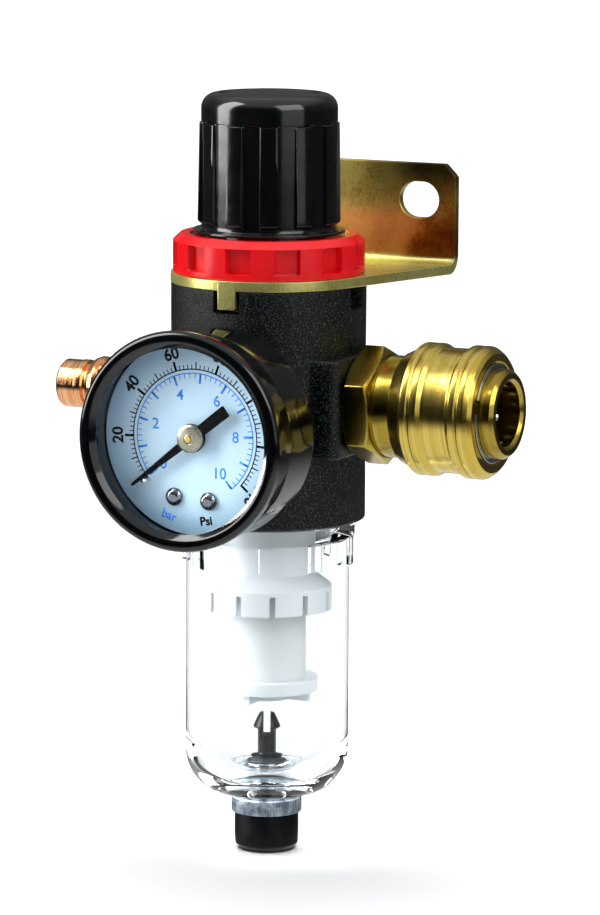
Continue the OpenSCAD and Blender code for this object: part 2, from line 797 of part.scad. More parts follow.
module inlet_nipple() color("#d98850") on_inlet() difference() {
    union() {
        rod(port_r - thread_gap, 12, boss_x + 0.2);
        rotate([0, 0, 30]) hex_bar(17, boss_x + 0.1, 27.5);
        rotate_extrude() polygon([
            [0, 27], [7.6, 27], [7.6, 28.6], [5.2, 30.5], [5.2, 36.3], [5.9, 37.1],
            [6.05, 38], [5.8, 38.9], [5.1, 39.8], [4.3, 40.4], [4.3, 40.9],
            [nipple_r, 41.3], [nipple_r, nipple_end - 0.6], [nipple_r - 0.6, nipple_end], [0, nipple_end]
        ]);
    }
    rod(3.2, 11, nipple_end + cut);
}

module rear_plug() color("dimgray") place() translate([0, 0, gauge_z]) rotate([-90, 0, 0])
    difference() {
        rod(gauge_bore_r - thread_gap, 13.2, case_back - 0.2);
        hex_bar(5, 16.5, case_back + 1);
    }

body();
bonnet();
lock_ring();
bracket();
knob();
adjusting_screw();
spring_nut();
main_spring();
piston();
piston_o_ring();
valve_seat();
valve_poppet();
valve_spring();
valve_guide();
deflector();
filter_element();
baffle();
bowl();
bowl_o_ring();
drain_collar();
drain_button();
drain_stem();
drain_seal();
gauge_case();
gauge_bezel();
gauge_window();
gauge_dial();
dial_screws();
stop_pin();
pointer();
pointer_hub();
pinion_shaft();
sector_gear();
movement_plates();
bourdon_tube();
tube_link();
hair_spring();
gauge_socket();
coupler_body();
coupler_nose();
coupler_sleeve();
sleeve_spring();
retaining_ring();
locking_balls();
coupler_valve();
coupler_valve_spring();
coupler_seal();
inlet_nipple();
rear_plug();
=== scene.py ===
# %% [markdown]
# # An air pressure regulator, dressed piece by piece
# A compressor's air comes in at the copper-coloured nipple, is cleaned in the clear bowl, and
# leaves through the brass coupler at the pressure set with the black knob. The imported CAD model
# is the frame: it says where every piece is and how it moves. This lesson gives each piece the
# rounded edges and the finish of the real one.

# %% Load the frame
import json
import math

import bmesh
import bpy
import numpy as np
from mathutils import Matrix, Vector

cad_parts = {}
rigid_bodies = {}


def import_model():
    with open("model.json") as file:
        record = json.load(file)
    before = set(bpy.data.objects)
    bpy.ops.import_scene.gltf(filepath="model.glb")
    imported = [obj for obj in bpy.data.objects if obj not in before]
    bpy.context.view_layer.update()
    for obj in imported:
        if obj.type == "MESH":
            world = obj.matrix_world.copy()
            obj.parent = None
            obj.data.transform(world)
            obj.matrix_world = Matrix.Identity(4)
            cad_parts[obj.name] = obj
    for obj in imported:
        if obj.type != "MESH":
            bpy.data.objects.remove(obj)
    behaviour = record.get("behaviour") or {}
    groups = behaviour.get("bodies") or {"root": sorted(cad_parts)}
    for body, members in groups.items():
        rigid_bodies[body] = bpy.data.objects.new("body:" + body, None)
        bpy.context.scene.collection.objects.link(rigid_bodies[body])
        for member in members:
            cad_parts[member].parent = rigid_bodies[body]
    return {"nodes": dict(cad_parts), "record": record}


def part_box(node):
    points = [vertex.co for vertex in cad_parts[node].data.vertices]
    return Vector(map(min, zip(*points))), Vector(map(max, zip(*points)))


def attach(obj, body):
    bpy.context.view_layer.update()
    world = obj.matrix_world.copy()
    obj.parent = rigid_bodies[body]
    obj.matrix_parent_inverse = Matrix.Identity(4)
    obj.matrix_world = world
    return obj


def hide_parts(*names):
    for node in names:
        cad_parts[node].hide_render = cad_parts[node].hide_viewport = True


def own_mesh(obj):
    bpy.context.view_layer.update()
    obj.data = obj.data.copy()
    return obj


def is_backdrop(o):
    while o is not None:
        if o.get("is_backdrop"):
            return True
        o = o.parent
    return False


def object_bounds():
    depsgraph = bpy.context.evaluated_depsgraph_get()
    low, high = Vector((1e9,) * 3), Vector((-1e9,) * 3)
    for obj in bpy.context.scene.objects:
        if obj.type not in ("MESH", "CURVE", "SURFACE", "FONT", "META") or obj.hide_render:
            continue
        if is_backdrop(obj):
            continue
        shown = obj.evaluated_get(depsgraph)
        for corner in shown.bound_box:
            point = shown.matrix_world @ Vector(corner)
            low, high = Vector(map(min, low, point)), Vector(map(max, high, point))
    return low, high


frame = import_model()
cad_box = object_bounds()

# %% [markdown]
# ## Places to work from
# Turned parts are easiest to draw in millimetres about their own axis. Four axes are enough:
# the body's upright one, the gauge's, the outlet's and the inlet's. Each is a matrix that takes
# a drawing to its place in metres, and its origin comes from the CAD nodes' boxes.

# %% The four axes
MM = 0.001


def middle(node):
    low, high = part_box(node)
    return (low + high) / 2


def placed(origin, across, along):
    across, along = Vector(across), Vector(along)
    turn = Matrix((across, along, across.cross(along))).transposed().to_4x4()
    return Matrix.Translation(origin) @ turn @ Matrix.Scale(MM, 4)


axis = middle("body")
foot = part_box("drain_button")[0].z
gauge_z = middle("gauge_dial").z
port_z = middle("inlet_nipple").z
UPRIGHT = placed((axis.x, axis.y, foot), (1, 0, 0), (0, 1, 0))
GAUGE = placed((axis.x, axis.y, gauge_z), (1, 0, 0), (0, 0, 1))
OUTLET = placed((axis.x, axis.y, port_z), (0, 0, -1), (0, 1, 0))
INLET = placed((axis.x, axis.y, port_z), (0, 0, 1), (0, 1, 0))


def height(node, top=True):
    """A CAD node's upper or lower face, in millimetres above the drain."""
    return (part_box(node)[1 if top else 0].z - foot) / MM


print("body axis", tuple(round(v / MM, 2) for v in axis), "knob top", round(height("knob"), 2))

# %% [markdown]
# ## Node trees as sums
# A shader is a sum of noises, masks and ramps. Wrapping a socket in a small class lets a finish
# be written as Python arithmetic, and one method makes every other kind of node.


# %% Values and nodes
class Value:
    def __init__(self, nodes, socket):
        self.nodes, self.socket = nodes, socket

    def maths(self, operation, *values):
        return self.nodes.node("ShaderNodeMath", {"operation": operation}, dict(enumerate(values)))

    def also(self, output):
        return Value(self.nodes, self.socket.node.outputs[output])

    def __add__(self, other): return self.maths("ADD", self, other)
    def __sub__(self, other): return self.maths("SUBTRACT", self, other)
    def __rsub__(self, other): return self.maths("SUBTRACT", other, self)
    def __mul__(self, other): return self.maths("MULTIPLY", self, other)
    def __pow__(self, other): return self.maths("POWER", self, other)


class Nodes:
    def node(self, kind, settings=None, values=None, output=0):
        made = self.tree.nodes.new(kind)
        for key, setting in (settings or {}).items():
            if key == "stops":
                for i, (place, colour) in enumerate(setting):
                    stops = made.color_ramp.elements
                    stop = stops[i] if i < 2 else stops.new(place)
                    stop.position, stop.color = place, colour
            else:
                setattr(made, key, setting)
        for key, value in (values or {}).items():
            if isinstance(value, Value):
                self.tree.links.new(value.socket, made.inputs[key])
            else:
                made.inputs[key].default_value = value
        return Value(self, made.outputs[output])

    def range(self, value, low, high, new_low=0.0, new_high=1.0):
        """Eases one range of values into another."""
        return self.node("ShaderNodeMapRange", {"interpolation_type": "SMOOTHSTEP"}, {
            "Value": value, "From Min": low, "From Max": high, "To Min": new_low,
            "To Max": new_high})


def paint(red, green, blue):
    """A screen colour from 0 to 255 as the linear colour that nodes want."""
    def linear(c):
        c /= 255
        return c / 12.92 if c <= 0.04045 else ((c + 0.055) / 1.055) ** 2.4
    return linear(red), linear(green), linear(blue), 1.0


print("linear brass:", [round(c, 3) for c in paint(214, 178, 92)])

# %% [markdown]
# ## What every finish needs
# A finish reads Object coordinates, which are metres here, so a grain of 0.3 mm has a scale of
# about 3300. A Mapping node centres a pattern on the axis of the piece it belongs to.


# %% The Finish class
class Finish(Nodes):
    def __init__(self, name):
        self.material = bpy.data.materials.new(name)
        self.material.use_nodes = True
        self.tree = self.material.node_tree
        self.tree.nodes.clear()

    def place(self, centre=(0, 0, 0), scale=(1, 1, 1)):
        spot = self.node("ShaderNodeTexCoord", output="Object")
        moved = tuple(-c * s for c, s in zip(centre, scale))
        return self.node("ShaderNodeMapping", None,
            {"Vector": spot, "Location": moved, "Scale": scale})

    def noise(self, vector, scale, detail=2.0, roughness=0.5, distortion=0.0):
        return self.node("ShaderNodeTexNoise", None, {
            "Vector": vector, "Scale": scale, "Detail": detail,
            "Roughness": roughness, "Distortion": distortion})

    def cells(self, vector, scale):
        return self.node("ShaderNodeTexVoronoi", None, {"Vector": vector, "Scale": scale})

    def blend(self, factor, first, second):
        return self.node("ShaderNodeMix", {"data_type": "RGBA"},
            {0: factor, 6: first, 7: second}, 2)

    def ramp(self, value, *stops):
        return self.node("ShaderNodeValToRGB", {"stops": stops}, {"Fac": value})

    def bump(self, height, depth_mm, strength=1.0):
        return self.node("ShaderNodeBump", None, {
            "Height": height, "Distance": depth_mm * MM, "Strength": strength})

    def split(self, vector):
        x = self.node("ShaderNodeSeparateXYZ", None, {"Vector": vector})
        return x, x.also(1), x.also(2)

    def surface(self, **values):
        named = {key.replace("_", " ").title().replace("Ior", "IOR"): v
            for key, v in values.items()}
        shader = self.node("ShaderNodeBsdfPrincipled", None, named)
        end = self.tree.nodes.new("ShaderNodeOutputMaterial")
        self.tree.links.new(shader.socket, end.inputs["Surface"])
        return self.material

    def lathe_marks(self, along, centre, pitch_mm):
        """Fine grooves square to x or y: on its cylinders, and as rings on its end faces."""
        x, y, z = self.split(self.place(centre))
        far, beside = (x, y) if along == "x" else (y, x)
        run = (far + (beside * beside + z * z) ** 0.5) * (1 / (pitch_mm * MM))
        return self.node("ShaderNodeTexNoise", {"noise_dimensions": "1D"},
            {"W": run, "Scale": 1.0, "Detail": 3.0, "Roughness": 0.7})


print("finish helpers ready")

# %% [markdown]
# ## Shapes that are turned
# Most of these parts are made on a lathe or in a round mould, so one function spins a profile.
# Where a part isn't quite round, such as a hexagon or a grip with panels, a shape function
# changes the radius with the angle, which keeps one clean grid of faces.


# %% Profiles, turned pieces and plain meshes
def rounded(*corners, closed=False, steps=5):
    """Points (r, z) or (r, z, fillet), with the filleted corners turned into arcs."""
    points, count = [], len(corners)
    for i, corner in enumerate(corners):
        here = Vector(corner[:2])
        fillet = corner[2] if len(corner) > 2 else 0
        if not fillet or (not closed and i in (0, count - 1)):
            points.append(tuple(here))
            continue
        back = (Vector(corners[i - 1][:2]) - here).normalized()
        on = (Vector(corners[(i + 1) % count][:2]) - here).normalized()
        half = math.acos(max(-1, min(1, back.dot(on)))) / 2
        centre = here + (back + on).normalized() * fillet / math.sin(half)
        start = here + back * (fillet / math.tan(half)) - centre
        end = here + on * (fillet / math.tan(half)) - centre
        sweep = math.atan2(start.x * end.y - start.y * end.x, start.dot(end))
        for s in range(steps + 1):
            a = sweep * s / steps
            points.append((centre.x + start.x * math.cos(a) - start.y * math.sin(a),
                centre.y + start.x * math.sin(a) + start.y * math.cos(a)))
    return points


def linked(name, data):
    """A new object, linked to the scene."""
    made = bpy.data.objects.new(name, data)
    bpy.context.scene.collection.objects.link(made)
    return made


def as_mesh(made):
    """An object's shape with its modifiers and text worked out. The object itself is removed."""
    bpy.context.view_layer.update()
    mesh = bpy.data.meshes.new_from_object(
        made.evaluated_get(bpy.context.evaluated_depsgraph_get()))
    bpy.data.objects.remove(made)
    return mesh


def as_drawing(work):
    """A bmesh as a mesh. The bmesh itself is freed."""
    mesh = bpy.data.meshes.new("drawing")
    work.to_mesh(mesh)
    work.free()
    return mesh


def finished(name, mesh, where, material, body, *nodes, slot, sharp=35):
    """Places a drawing, closes its seams, turns its faces outwards and hands it to the frame."""
    mesh.transform(where)
    work = bmesh.new()
    work.from_mesh(mesh)
    bmesh.ops.remove_doubles(work, verts=work.verts, dist=2e-7)
    bmesh.ops.dissolve_degenerate(work, edges=work.edges, dist=1e-8)
    bmesh.ops.recalc_face_normals(work, faces=work.faces)
    work.to_mesh(mesh)
    work.free()
    mesh.name = name
    mesh.shade_smooth()
    mesh.set_sharp_from_angle(angle=math.radians(sharp))
    mesh.materials.clear()
    mesh.materials.append(material)
    piece = linked(name, mesh)
    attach(piece, body)
    if nodes:
        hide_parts(*nodes)
    print(f"{name}: {len(mesh.polygons)} faces")
    return piece


def drawn(points, faces):
    mesh = bpy.data.meshes.new("drawing")
    mesh.from_pydata([tuple(p) for p in points], [], faces)
    return mesh


def around(turns, radii, z):
    """One row of points round the axis."""
    return np.column_stack((radii * np.cos(turns), radii * np.sin(turns), np.full(len(turns), z)))


def grid(rows, closed):
    """A mesh from rows of points that each run all the way round."""
    count, columns, faces = len(rows), len(rows[0]), []
    for i in range(count if closed else count - 1):
        a, b = i * columns, (i + 1) % count * columns
        faces += [(a + j, a + (j + 1) % columns, b + (j + 1) % columns, b + j)
            for j in range(columns)]
    return drawn(np.concatenate(rows), faces)


def turned(profile, shape=None, count=144, edges=(), closed=False):
    """Spins a profile of (r, z). shape(angles, r, z) gives the radii where it isn't round."""
    turns = sorted([2 * math.pi * i / count for i in range(count)]
        + [e % (2 * math.pi) for e in edges])
    turns = np.array([a for i, a in enumerate(turns) if i == 0 or a - turns[i - 1] > 2e-4])
    return grid([around(turns, shape(turns, r, z) if shape and r > 0
        else np.full(len(turns), r), z) for r, z in profile], closed)


def joined(*meshes):
    work = bmesh.new()
    for mesh in meshes:
        work.from_mesh(mesh)
    return as_drawing(work)


def away(turns, first, count):
    """How far each angle is from the nearest of evenly spaced features, in radians."""
    step = 2 * math.pi / count
    return np.abs((turns - first + step / 2) % step - step / 2)


def edge_angles(first, count, half, soft):
    """Columns that a turned grid needs at both sides of evenly spaced features."""
    return [first + 2 * math.pi * i / count + side * half + s * soft
        for i in range(count) for side in (-1, 1) for s in (-1, -0.3, 0.3, 1)]


def eased(value):
    value = np.clip(value, 0, 1)
    return value * value * (3 - 2 * value)


FRONT = -math.pi / 2
print("a filleted corner has", len(rounded((0, 0), (5, 0, 1), (5, 5))), "points")

# %% [markdown]
# ## Copies round an axis
# Lugs, balls, screws and the marks of a scale are all one shape repeated round an axis. Geometry
# Nodes do this well: a tree with named inputs puts copies at a start angle and a step, makes
# them real and gives them their material.


# %% The tree that repeats a shape
class Rule(Nodes):
    def __init__(self, name, inputs):
        self.tree = bpy.data.node_groups.new(name, "GeometryNodeTree")
        self.tree.interface.new_socket("Geometry", in_out="OUTPUT",
            socket_type="NodeSocketGeometry")
        for label, kind in inputs.items():
            self.tree.interface.new_socket(label, in_out="INPUT", socket_type=kind)
        self.given = self.tree.nodes.new("NodeGroupInput")

    def input(self, label):
        return Value(self, self.given.outputs[label])

    def finish(self, geometry):
        solid = self.node("GeometryNodeRealizeInstances", None, {"Geometry": geometry})
        done = self.node("GeometryNodeSetMaterial", None,
            {"Geometry": solid, "Material": self.input("Material")})
        end = self.tree.nodes.new("NodeGroupOutput")
        self.tree.links.new(done.socket, end.inputs["Geometry"])

    def run(self, **values):
        """Runs the tree once on an empty mesh and returns the plain mesh that it makes."""
        holder = linked("holder", bpy.data.meshes.new("holder"))
        modifier = holder.modifiers.new("rule", "NODES")
        modifier.node_group = self.tree
        sockets = {s.name: s.identifier for s in self.tree.interface.items_tree
            if s.in_out == "INPUT"}
        for label, value in values.items():
            modifier[sockets[label.replace("_", " ")]] = value
        bpy.context.view_layer.update()
        shown = holder.evaluated_get(bpy.context.evaluated_depsgraph_get())
        mesh = bpy.data.meshes.new_from_object(shown)
        holder.modifiers.remove(modifier)
        bpy.data.objects.remove(holder)
        return mesh


def round_the_axis(rule, shape):
    """Copies of a shape turned about Z, one for each point."""
    number = rule.node("GeometryNodeInputIndex")
    angle = rule.input("Start") + number * rule.input("Step")
    turn = rule.node("ShaderNodeCombineXYZ", None, {"Z": angle})
    points = rule.node("GeometryNodePoints", None, {"Count": rule.input("Count")})
    return rule.node("GeometryNodeInstanceOnPoints", None,
        {"Points": points, "Instance": shape, "Rotation": turn})


copies = Rule("copies_round_an_axis", {
    "Shape": "NodeSocketObject", "Count": "NodeSocketInt", "Start": "NodeSocketFloat",
    "Step": "NodeSocketFloat", "Material": "NodeSocketMaterial"})
copies.finish(round_the_axis(copies, copies.node(
    "GeometryNodeObjectInfo", {"transform_space": "ORIGINAL"},
    {"Object": copies.input("Shape")}, "Geometry")))


def repeated(mesh, count, start, step, material):
    """A drawing repeated round its axis, as one mesh."""
    model = linked("model", mesh)
    result = copies.run(Shape=model, Count=count, Start=start, Step=step, Material=material)
    bpy.data.objects.remove(model)
    return result


print("inputs:", [s.name for s in copies.tree.interface.items_tree if s.in_out == "INPUT"])

# %% [markdown]
# ## Black plastics
# The knob is glossy nylon, moulded and smooth, with faint waviness. The drain button and its
# stem are a duller, oilier black. Both are nearly black, so the bump and the roughness make the
# material, not the colour.

# %% Black plastics
f = Finish("black_nylon_gloss")
spot = f.place()
haze = f.noise(spot, 260, 4, 0.6)
waves = f.noise(spot, 90, 2)
pits = f.noise(spot, 2600, 3, 0.65)
f_knob = f.surface(base_color=f.blend(haze, paint(3, 4, 5), paint(9, 11, 13)),
    roughness=f.range(haze, 0.3, 0.7, 0.1, 0.18), normal=f.bump(waves * 0.8 + pits * 0.06, 0.1),
    specular_ior_level=0.5, coat_weight=0.3, coat_roughness=0.05)

f = Finish("black_plastic_dull")
spot = f.place()
haze = f.noise(spot, 420, 4, 0.6)
f_black = f.surface(base_color=f.blend(haze, paint(3, 3, 4), paint(13, 15, 17)),
    roughness=f.range(haze, 0.3, 0.7, 0.28, 0.44),
    normal=f.bump(f.noise(spot, 2200, 3, 0.6), 0.02), specular_ior_level=0.22)

f = Finish("rubber_dull")
spot = f.place()
f_rubber = f.surface(
    base_color=f.blend(f.noise(spot, 500, 3), paint(12, 15, 20), paint(38, 45, 54)),
    roughness=f.range(f.noise(spot, 900, 3), 0.3, 0.7, 0.35, 0.6),
    normal=f.bump(f.noise(spot, 3000, 3), 0.02), specular_ior_level=0.35)
print("black plastics:", f_knob.name, f_black.name, f_rubber.name)

# %% [markdown]
# ## The knob
# A bell-shaped grip with twelve flat panels that stand half a millimetre proud, a smooth cap
# with a soft shoulder and a shallow dish on top, and a thin flange at its foot. The panels fade
# out just under the cap. It is one turned grid: the shape function lifts the panels.

# %% Knob
top = height("knob")
low = height("knob", top=False)
panels, panel_first, panel_half = 12, FRONT + math.radians(25.5), 1.85 / 14.2


def grip(turns, r, z):
    if r < 13.6 or not low + 1.4 < z < top - 5.7:
        return np.full(len(turns), r)
    lift = eased((top - 5.8 - z) / 0.25) * eased((z - low - 1.5) / 0.9)
    side = eased((panel_half + 0.011 - away(turns, panel_first, panels)) / 0.022)
    return r + side * lift * (14.62 - 0.32 * (z - low - 3) / 19 - r)


outside = rounded((0, top - 0.32), (10.35, top - 0.32, 0.3), (10.75, top, 0.15),
    (13.95, top, 3), (13.95, top - 5.4), steps=9)
walls = [(13.95 if z > top - 5.7 else 13.82, z) for z in
    [top - 5.6, top - 5.75, top - 5.8, top - 5.88, top - 5.97, top - 6.06, top - 6.3]
    + list(np.linspace(top - 8, low + 3.4, 8)) + list(np.linspace(low + 2.5, low + 1.45, 8))]
foot_band = rounded((13.85, low + 1.35), (13.95, low + 0.85, 0.25), (15.45, low + 0.62, 0.12),
    (15.6, low + 0.5, 0.1), (15.6, low, 0.15), (11.8, low), (11.8, low + 14),
    (4.75, low + 14), (4.75, low + 24.4), (0, low + 24.4))
finished("knob_grip", turned(outside + walls + foot_band, grip,
    edges=edge_angles(panel_first, panels, panel_half, 0.011)),
    UPRIGHT, f_knob, "knob", "knob", slot="black_nylon")
print("knob from", round(low, 2), "to", round(top, 2), "mm")

# %% [markdown]
# ## Red lock ring
# A moulded nylon nut that clamps the bracket. Its upper edge has a broad chamfer, and twelve
# square pockets take a spanner or a finger nail. The red is strong and slightly waxy.

# %% Red plastic and the lock ring
f = Finish("red_plastic")
spot = f.place()
haze = f.noise(spot, 180, 4, 0.6)
f_red = f.surface(base_color=f.blend(haze, paint(194, 0, 10), paint(218, 4, 18)),
    roughness=f.range(haze, 0.3, 0.7, 0.16, 0.28),
    normal=f.bump(f.noise(spot, 110, 2) + f.noise(spot, 2600, 3) * 0.1, 0.08),
    specular_ior_level=0.45, coat_weight=0.25, coat_roughness=0.1)

ring_low, ring_top = height("lock_ring", top=False), height("lock_ring")
pocket_count, pocket_first, pocket_half = 12, FRONT + math.radians(6.8), 2.45 / 19.2


def pockets(turns, r, z):
    if r < 18.3 or not ring_low + 1.25 < z < ring_top - 1.55:
        return np.full(len(turns), r)
    deep = eased((z - ring_low - 1.28) / 0.3) * eased((ring_top - 1.56 - z) / 0.2)
    inside = eased((pocket_half + 0.009 - away(turns, pocket_first, pocket_count)) / 0.018)
    flat = 18.15 / np.cos(away(turns, pocket_first, pocket_count))
    return r + inside * deep * (flat - r)


bore = (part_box("lock_ring")[1].x - axis.x) / MM
sides = [(bore, z) for z in
    [ring_top - 1.55, ring_top - 1.6, ring_top - 1.66, ring_top - 1.72, ring_top - 1.78]
    + list(np.linspace(ring_top - 2.5, ring_low + 2.3, 5))
    + [ring_low + v for v in (1.66, 1.58, 1.48, 1.38, 1.28, 1.2)]]
ring_profile = rounded((16.15, ring_low, 0.15), (16.15, ring_top, 0.2),
    (bore - 1.5, ring_top, 0.35), (bore, ring_top - 1.45, 0.25)) \
    + sides + rounded((bore, ring_low + 0.6), (bore, ring_low, 0.35), (16.3, ring_low))
finished("lock_ring_red", turned(ring_profile, pockets, closed=True,
    edges=edge_angles(pocket_first, pocket_count, pocket_half, 0.009)),
    UPRIGHT, f_red, "housing", "lock_ring", slot="red_plastic")
print("ring radius", round(bore, 2))

# %% [markdown]
# ## Yellow chromate on the bracket
# The bracket is pressed from 2 mm sheet, zinc plated and passivated. The passivation is a thin film
# that shows olive, gold, pink and a little green, in drifting clouds with fine grain from the
# rolled sheet. Low noise picks the colour, high noise makes the grain, and a metallic shader with
# medium roughness does the rest. The colour is also darker and redder towards the plate's right end
# and near black at its upper right, which is painted shade, and the flange and its tab are a paler
# yellow-green, which is a painted highlight.

# %% Yellow zinc
f = Finish("yellow_zinc")
spot = f.place((axis.x, 0, 0))
clouds = f.noise(spot, 55, 5, 0.62, 0.6)
drift = f.noise(f.place((0.02, 0, 0.01), (1, 1, 2.2)), 28, 3, 0.55, 1.2)
grain = f.noise(f.place(scale=(1, 1, 0.35)), 5200, 3, 0.7)
x, y, z = f.split(spot)
# tone also falls towards the plate's right end, so the film turns darker and redder there: painted
# shade over the film's real clouds and grain
tone = clouds * 0.5 + drift * 0.35 + (grain - 0.5) * 0.22 - f.range(x, 0.006, 0.03) * 0.24 + 0.06
# shade marks the plate's upper right, which is blended towards near black: painted shade
shade = f.range(z, -0.001, 0.0068) * f.range(x, 0.002, 0.022)
film_and_painted_shade = f.ramp(tone, (0.2, paint(86, 36, 10)), (0.32, paint(140, 106, 30)),
    (0.42, paint(200, 174, 82)), (0.52, paint(216, 196, 108)),
    (0.64, paint(204, 200, 120)), (0.8, paint(226, 186, 150)))
flange_z = (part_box("bracket")[0].z + 4.9 * MM)
# The flange and its tab are blended towards a pale yellow-green: a painted highlight for the light
# that they catch.
on_flange = f.range(z, flange_z + 0.0024, flange_z + 0.0016)
painted_flange_highlight = f.blend(f.noise(spot, 240, 3), paint(214, 206, 96), paint(240, 238, 168))
f_zinc = f.surface(
    base_color=f.blend(on_flange * 0.85, f.blend(shade * 0.92, film_and_painted_shade, paint(26, 24, 12)),
    painted_flange_highlight), metallic=f.range(on_flange, 0.0, 1.0, 0.88, 0.86),
    roughness=f.range(grain * 0.5 + clouds * 0.5, 0.3, 0.7, 0.24, 0.38),
    normal=f.bump(clouds + grain * 0.25, 0.012))
print("zinc ready:", f_zinc.name)

# %% [markdown]
# ## The bracket
# A flat blank is drawn as one curve: an eye that fits round the bonnet, straight flanks out to
# the plate, cut corners and two slots. The curve gives it its thickness and a small edge radius,
# and the blank is then cut across the bend in narrow strips and bent, as a press brake would.
# A tab is bent down at the front, into a notch of the body, so that the bracket can't turn.

# %% Bracket
sheet, bend = 2.0, 3.0                       # thickness, and the radius of the sheet's middle
wall = -axis.y / MM                          # from the body's axis to the wall
half_width = (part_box("bracket")[1].x - axis.x) / MM
bend_start = wall - bend - sheet / 2
bend_length = bend * math.pi / 2
eye_z = height("bracket", top=False) + 3.9   # lower face of the flange
upright_length = height("bracket") - (eye_z + bend + sheet / 2)
blank_top = bend_start + bend_length + upright_length
slot_v = bend_start + bend_length + (-foot / MM - (eye_z + bend + sheet / 2))


def ring_points(cx, cy, r, reach=0.0, count=72):
    """A circle, or a slot whose two ends stand reach apart from its middle."""
    return [(cx + r * math.cos(t) + (reach if math.cos(t) > 0 else -reach),
        cy + r * math.sin(t)) for t in [2 * math.pi * (i + 0.5) / count for i in range(count)]]


def flat_blank():
    eye = 20.1
    reach = math.hypot(half_width, bend_start)
    tangent = math.atan2(bend_start, half_width) - math.acos(eye / reach)
    arc = [(eye * math.cos(t), eye * math.sin(t))
        for t in np.linspace(tangent, -math.pi - tangent, 96)]
    corner = 2.7
    right = [(half_width, bend_start), (half_width, blank_top - corner),
        (half_width - corner * 0.2, blank_top - corner * 0.75),
        (half_width - corner * 0.8, blank_top - corner * 0.15), (half_width - corner, blank_top)]
    left = [(-x, y) for x, y in right]
    return arc + left + right[::-1]


curve = bpy.data.curves.new("blank", "CURVE")
curve.dimensions, curve.fill_mode = "2D", "BOTH"
curve.extrude, curve.bevel_depth, curve.bevel_resolution, curve.offset = 0.82, 0.18, 2, -0.18
for loop in [flat_blank(), ring_points(0, 0, 16.3, count=96)] + [
        ring_points(side * 20.5, slot_v, 3.75, 0.7) for side in (-1, 1)]:
    spline = curve.splines.new("POLY")
    spline.points.add(len(loop) - 1)
    for point, (u, v) in zip(spline.points, loop):
        point.co = (u, v, 0, 1)
    spline.use_cyclic_u = True
mesh = as_mesh(linked("blank", curve))

work = bmesh.new()
work.from_mesh(mesh)
bmesh.ops.remove_doubles(work, verts=work.verts, dist=1e-4)
for i in range(13):
    across = bend_start + bend_length * i / 12
    bmesh.ops.bisect_plane(work, geom=work.verts[:] + work.edges[:] + work.faces[:],
        plane_co=(0, across, 0), plane_no=(0, 1, 0))
for v in work.verts:
    run = v.co.y - bend_start
    if run <= 0:
        v.co.z += eye_z + sheet / 2
        continue
    angle = min(run / bend, math.pi / 2)
    radius = bend - v.co.z
    v.co = Vector((v.co.x, bend_start + radius * math.sin(angle),
        eye_z + sheet / 2 + bend - radius * math.cos(angle) + max(0, run - bend_length)))
work.to_mesh(mesh)
work.free()


def soft_box(low_corner, high_corner, soft):
    """A box with rounded edges, as a drawing in millimetres."""
    low_corner, high_corner = Vector(low_corner), Vector(high_corner)
    work = bmesh.new()
    size, centre = high_corner - low_corner, (high_corner + low_corner) / 2
    bmesh.ops.create_cube(work, size=1, matrix=Matrix.Translation(centre)
        @ Matrix.Diagonal((*size, 1)))
    bmesh.ops.bevel(work, geom=work.edges[:], offset=soft, segments=3, profile=0.5, affect="EDGES")
    return as_drawing(work)


tab = soft_box((-1.95, -20.08, eye_z - 3.88), (1.95, -18.4, eye_z + 1.9), 0.35)
bracket = finished("bracket_plate", joined(mesh, tab), UPRIGHT, f_zinc, "housing", "bracket",
    slot="yellow_zinc", sharp=28)
weighted = bracket.modifiers.new("flat faces first", "WEIGHTED_NORMAL")
weighted.keep_sharp = True
print("bend starts", round(bend_start, 2), "mm from the axis; blank", round(blank_top, 2))

# %% [markdown]
# ## Black powder coat on the body
# The body is a zinc die casting with a fine-textured powder coat: a black skin of tiny bumps
# that each catch the light. A bump from small cells over rounder grain gives the sparkle, and
# roughness varies a little so that it never looks painted on.

# %% Powder coat
f = Finish("black_powder_coat")
spot = f.place()
grain = f.noise(spot, 3100, 3, 0.65)
beads = f.cells(spot, 3600)
patches = f.noise(spot, 160, 3)
f_body = f.surface(
    base_color=f.blend(f.range(grain, 0.53, 0.67), paint(2, 3, 3), paint(50, 60, 60)),
    roughness=f.range(patches, 0.3, 0.7, 0.14, 0.24),
    normal=f.bump(grain * 0.7 + (1 - beads) * 0.5, 0.17, 1.0), specular_ior_level=0.26)
print("powder grain about", round(1000 / 3100, 2), "mm")

# %% [markdown]
# ## The body
# A round casting with two square port bosses, a notch at each quarter of its upper rim, and a
# small round boss for the gauge at the front and for a plug at the back. Its outline can be
# seen from the axis at every height, so it is again one turned grid: the bosses are a rounded
# square blended into the circle, with the small fillet that a casting has. The port holes are
# left out, so the fittings' hidden ends run through the wall.

# %% Body
body_low, body_top = height("body", top=False), height("body")
boss_x = (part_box("body")[1].x - axis.x) / MM
boss_y, boss_half_h, boss_corner = 12.8, 10.25, 2.0
port_h = (port_z - foot) / MM


def boss_radius(turns, inset):
    """Radius of a rounded rectangle, drawn in by inset, at each angle."""
    a, b = boss_x - inset, boss_y - inset
    soft = max(boss_corner - inset * 0.5, 0.4)
    c, s = np.abs(np.cos(turns)) + 1e-9, np.abs(np.sin(turns)) + 1e-9
    by_end, by_side = a / c, b / s
    cx, cy = a - soft, b - soft
    along = cx * c + cy * s
    across = cx * s - cy * c
    by_corner = along + np.sqrt(np.maximum(soft ** 2 - across ** 2, 0))
    radius = np.where(by_end * s <= cy, by_end, by_side)
    corner = (by_end * s > cy) & (by_side * c > cx)
    return np.where(corner, by_corner, radius)


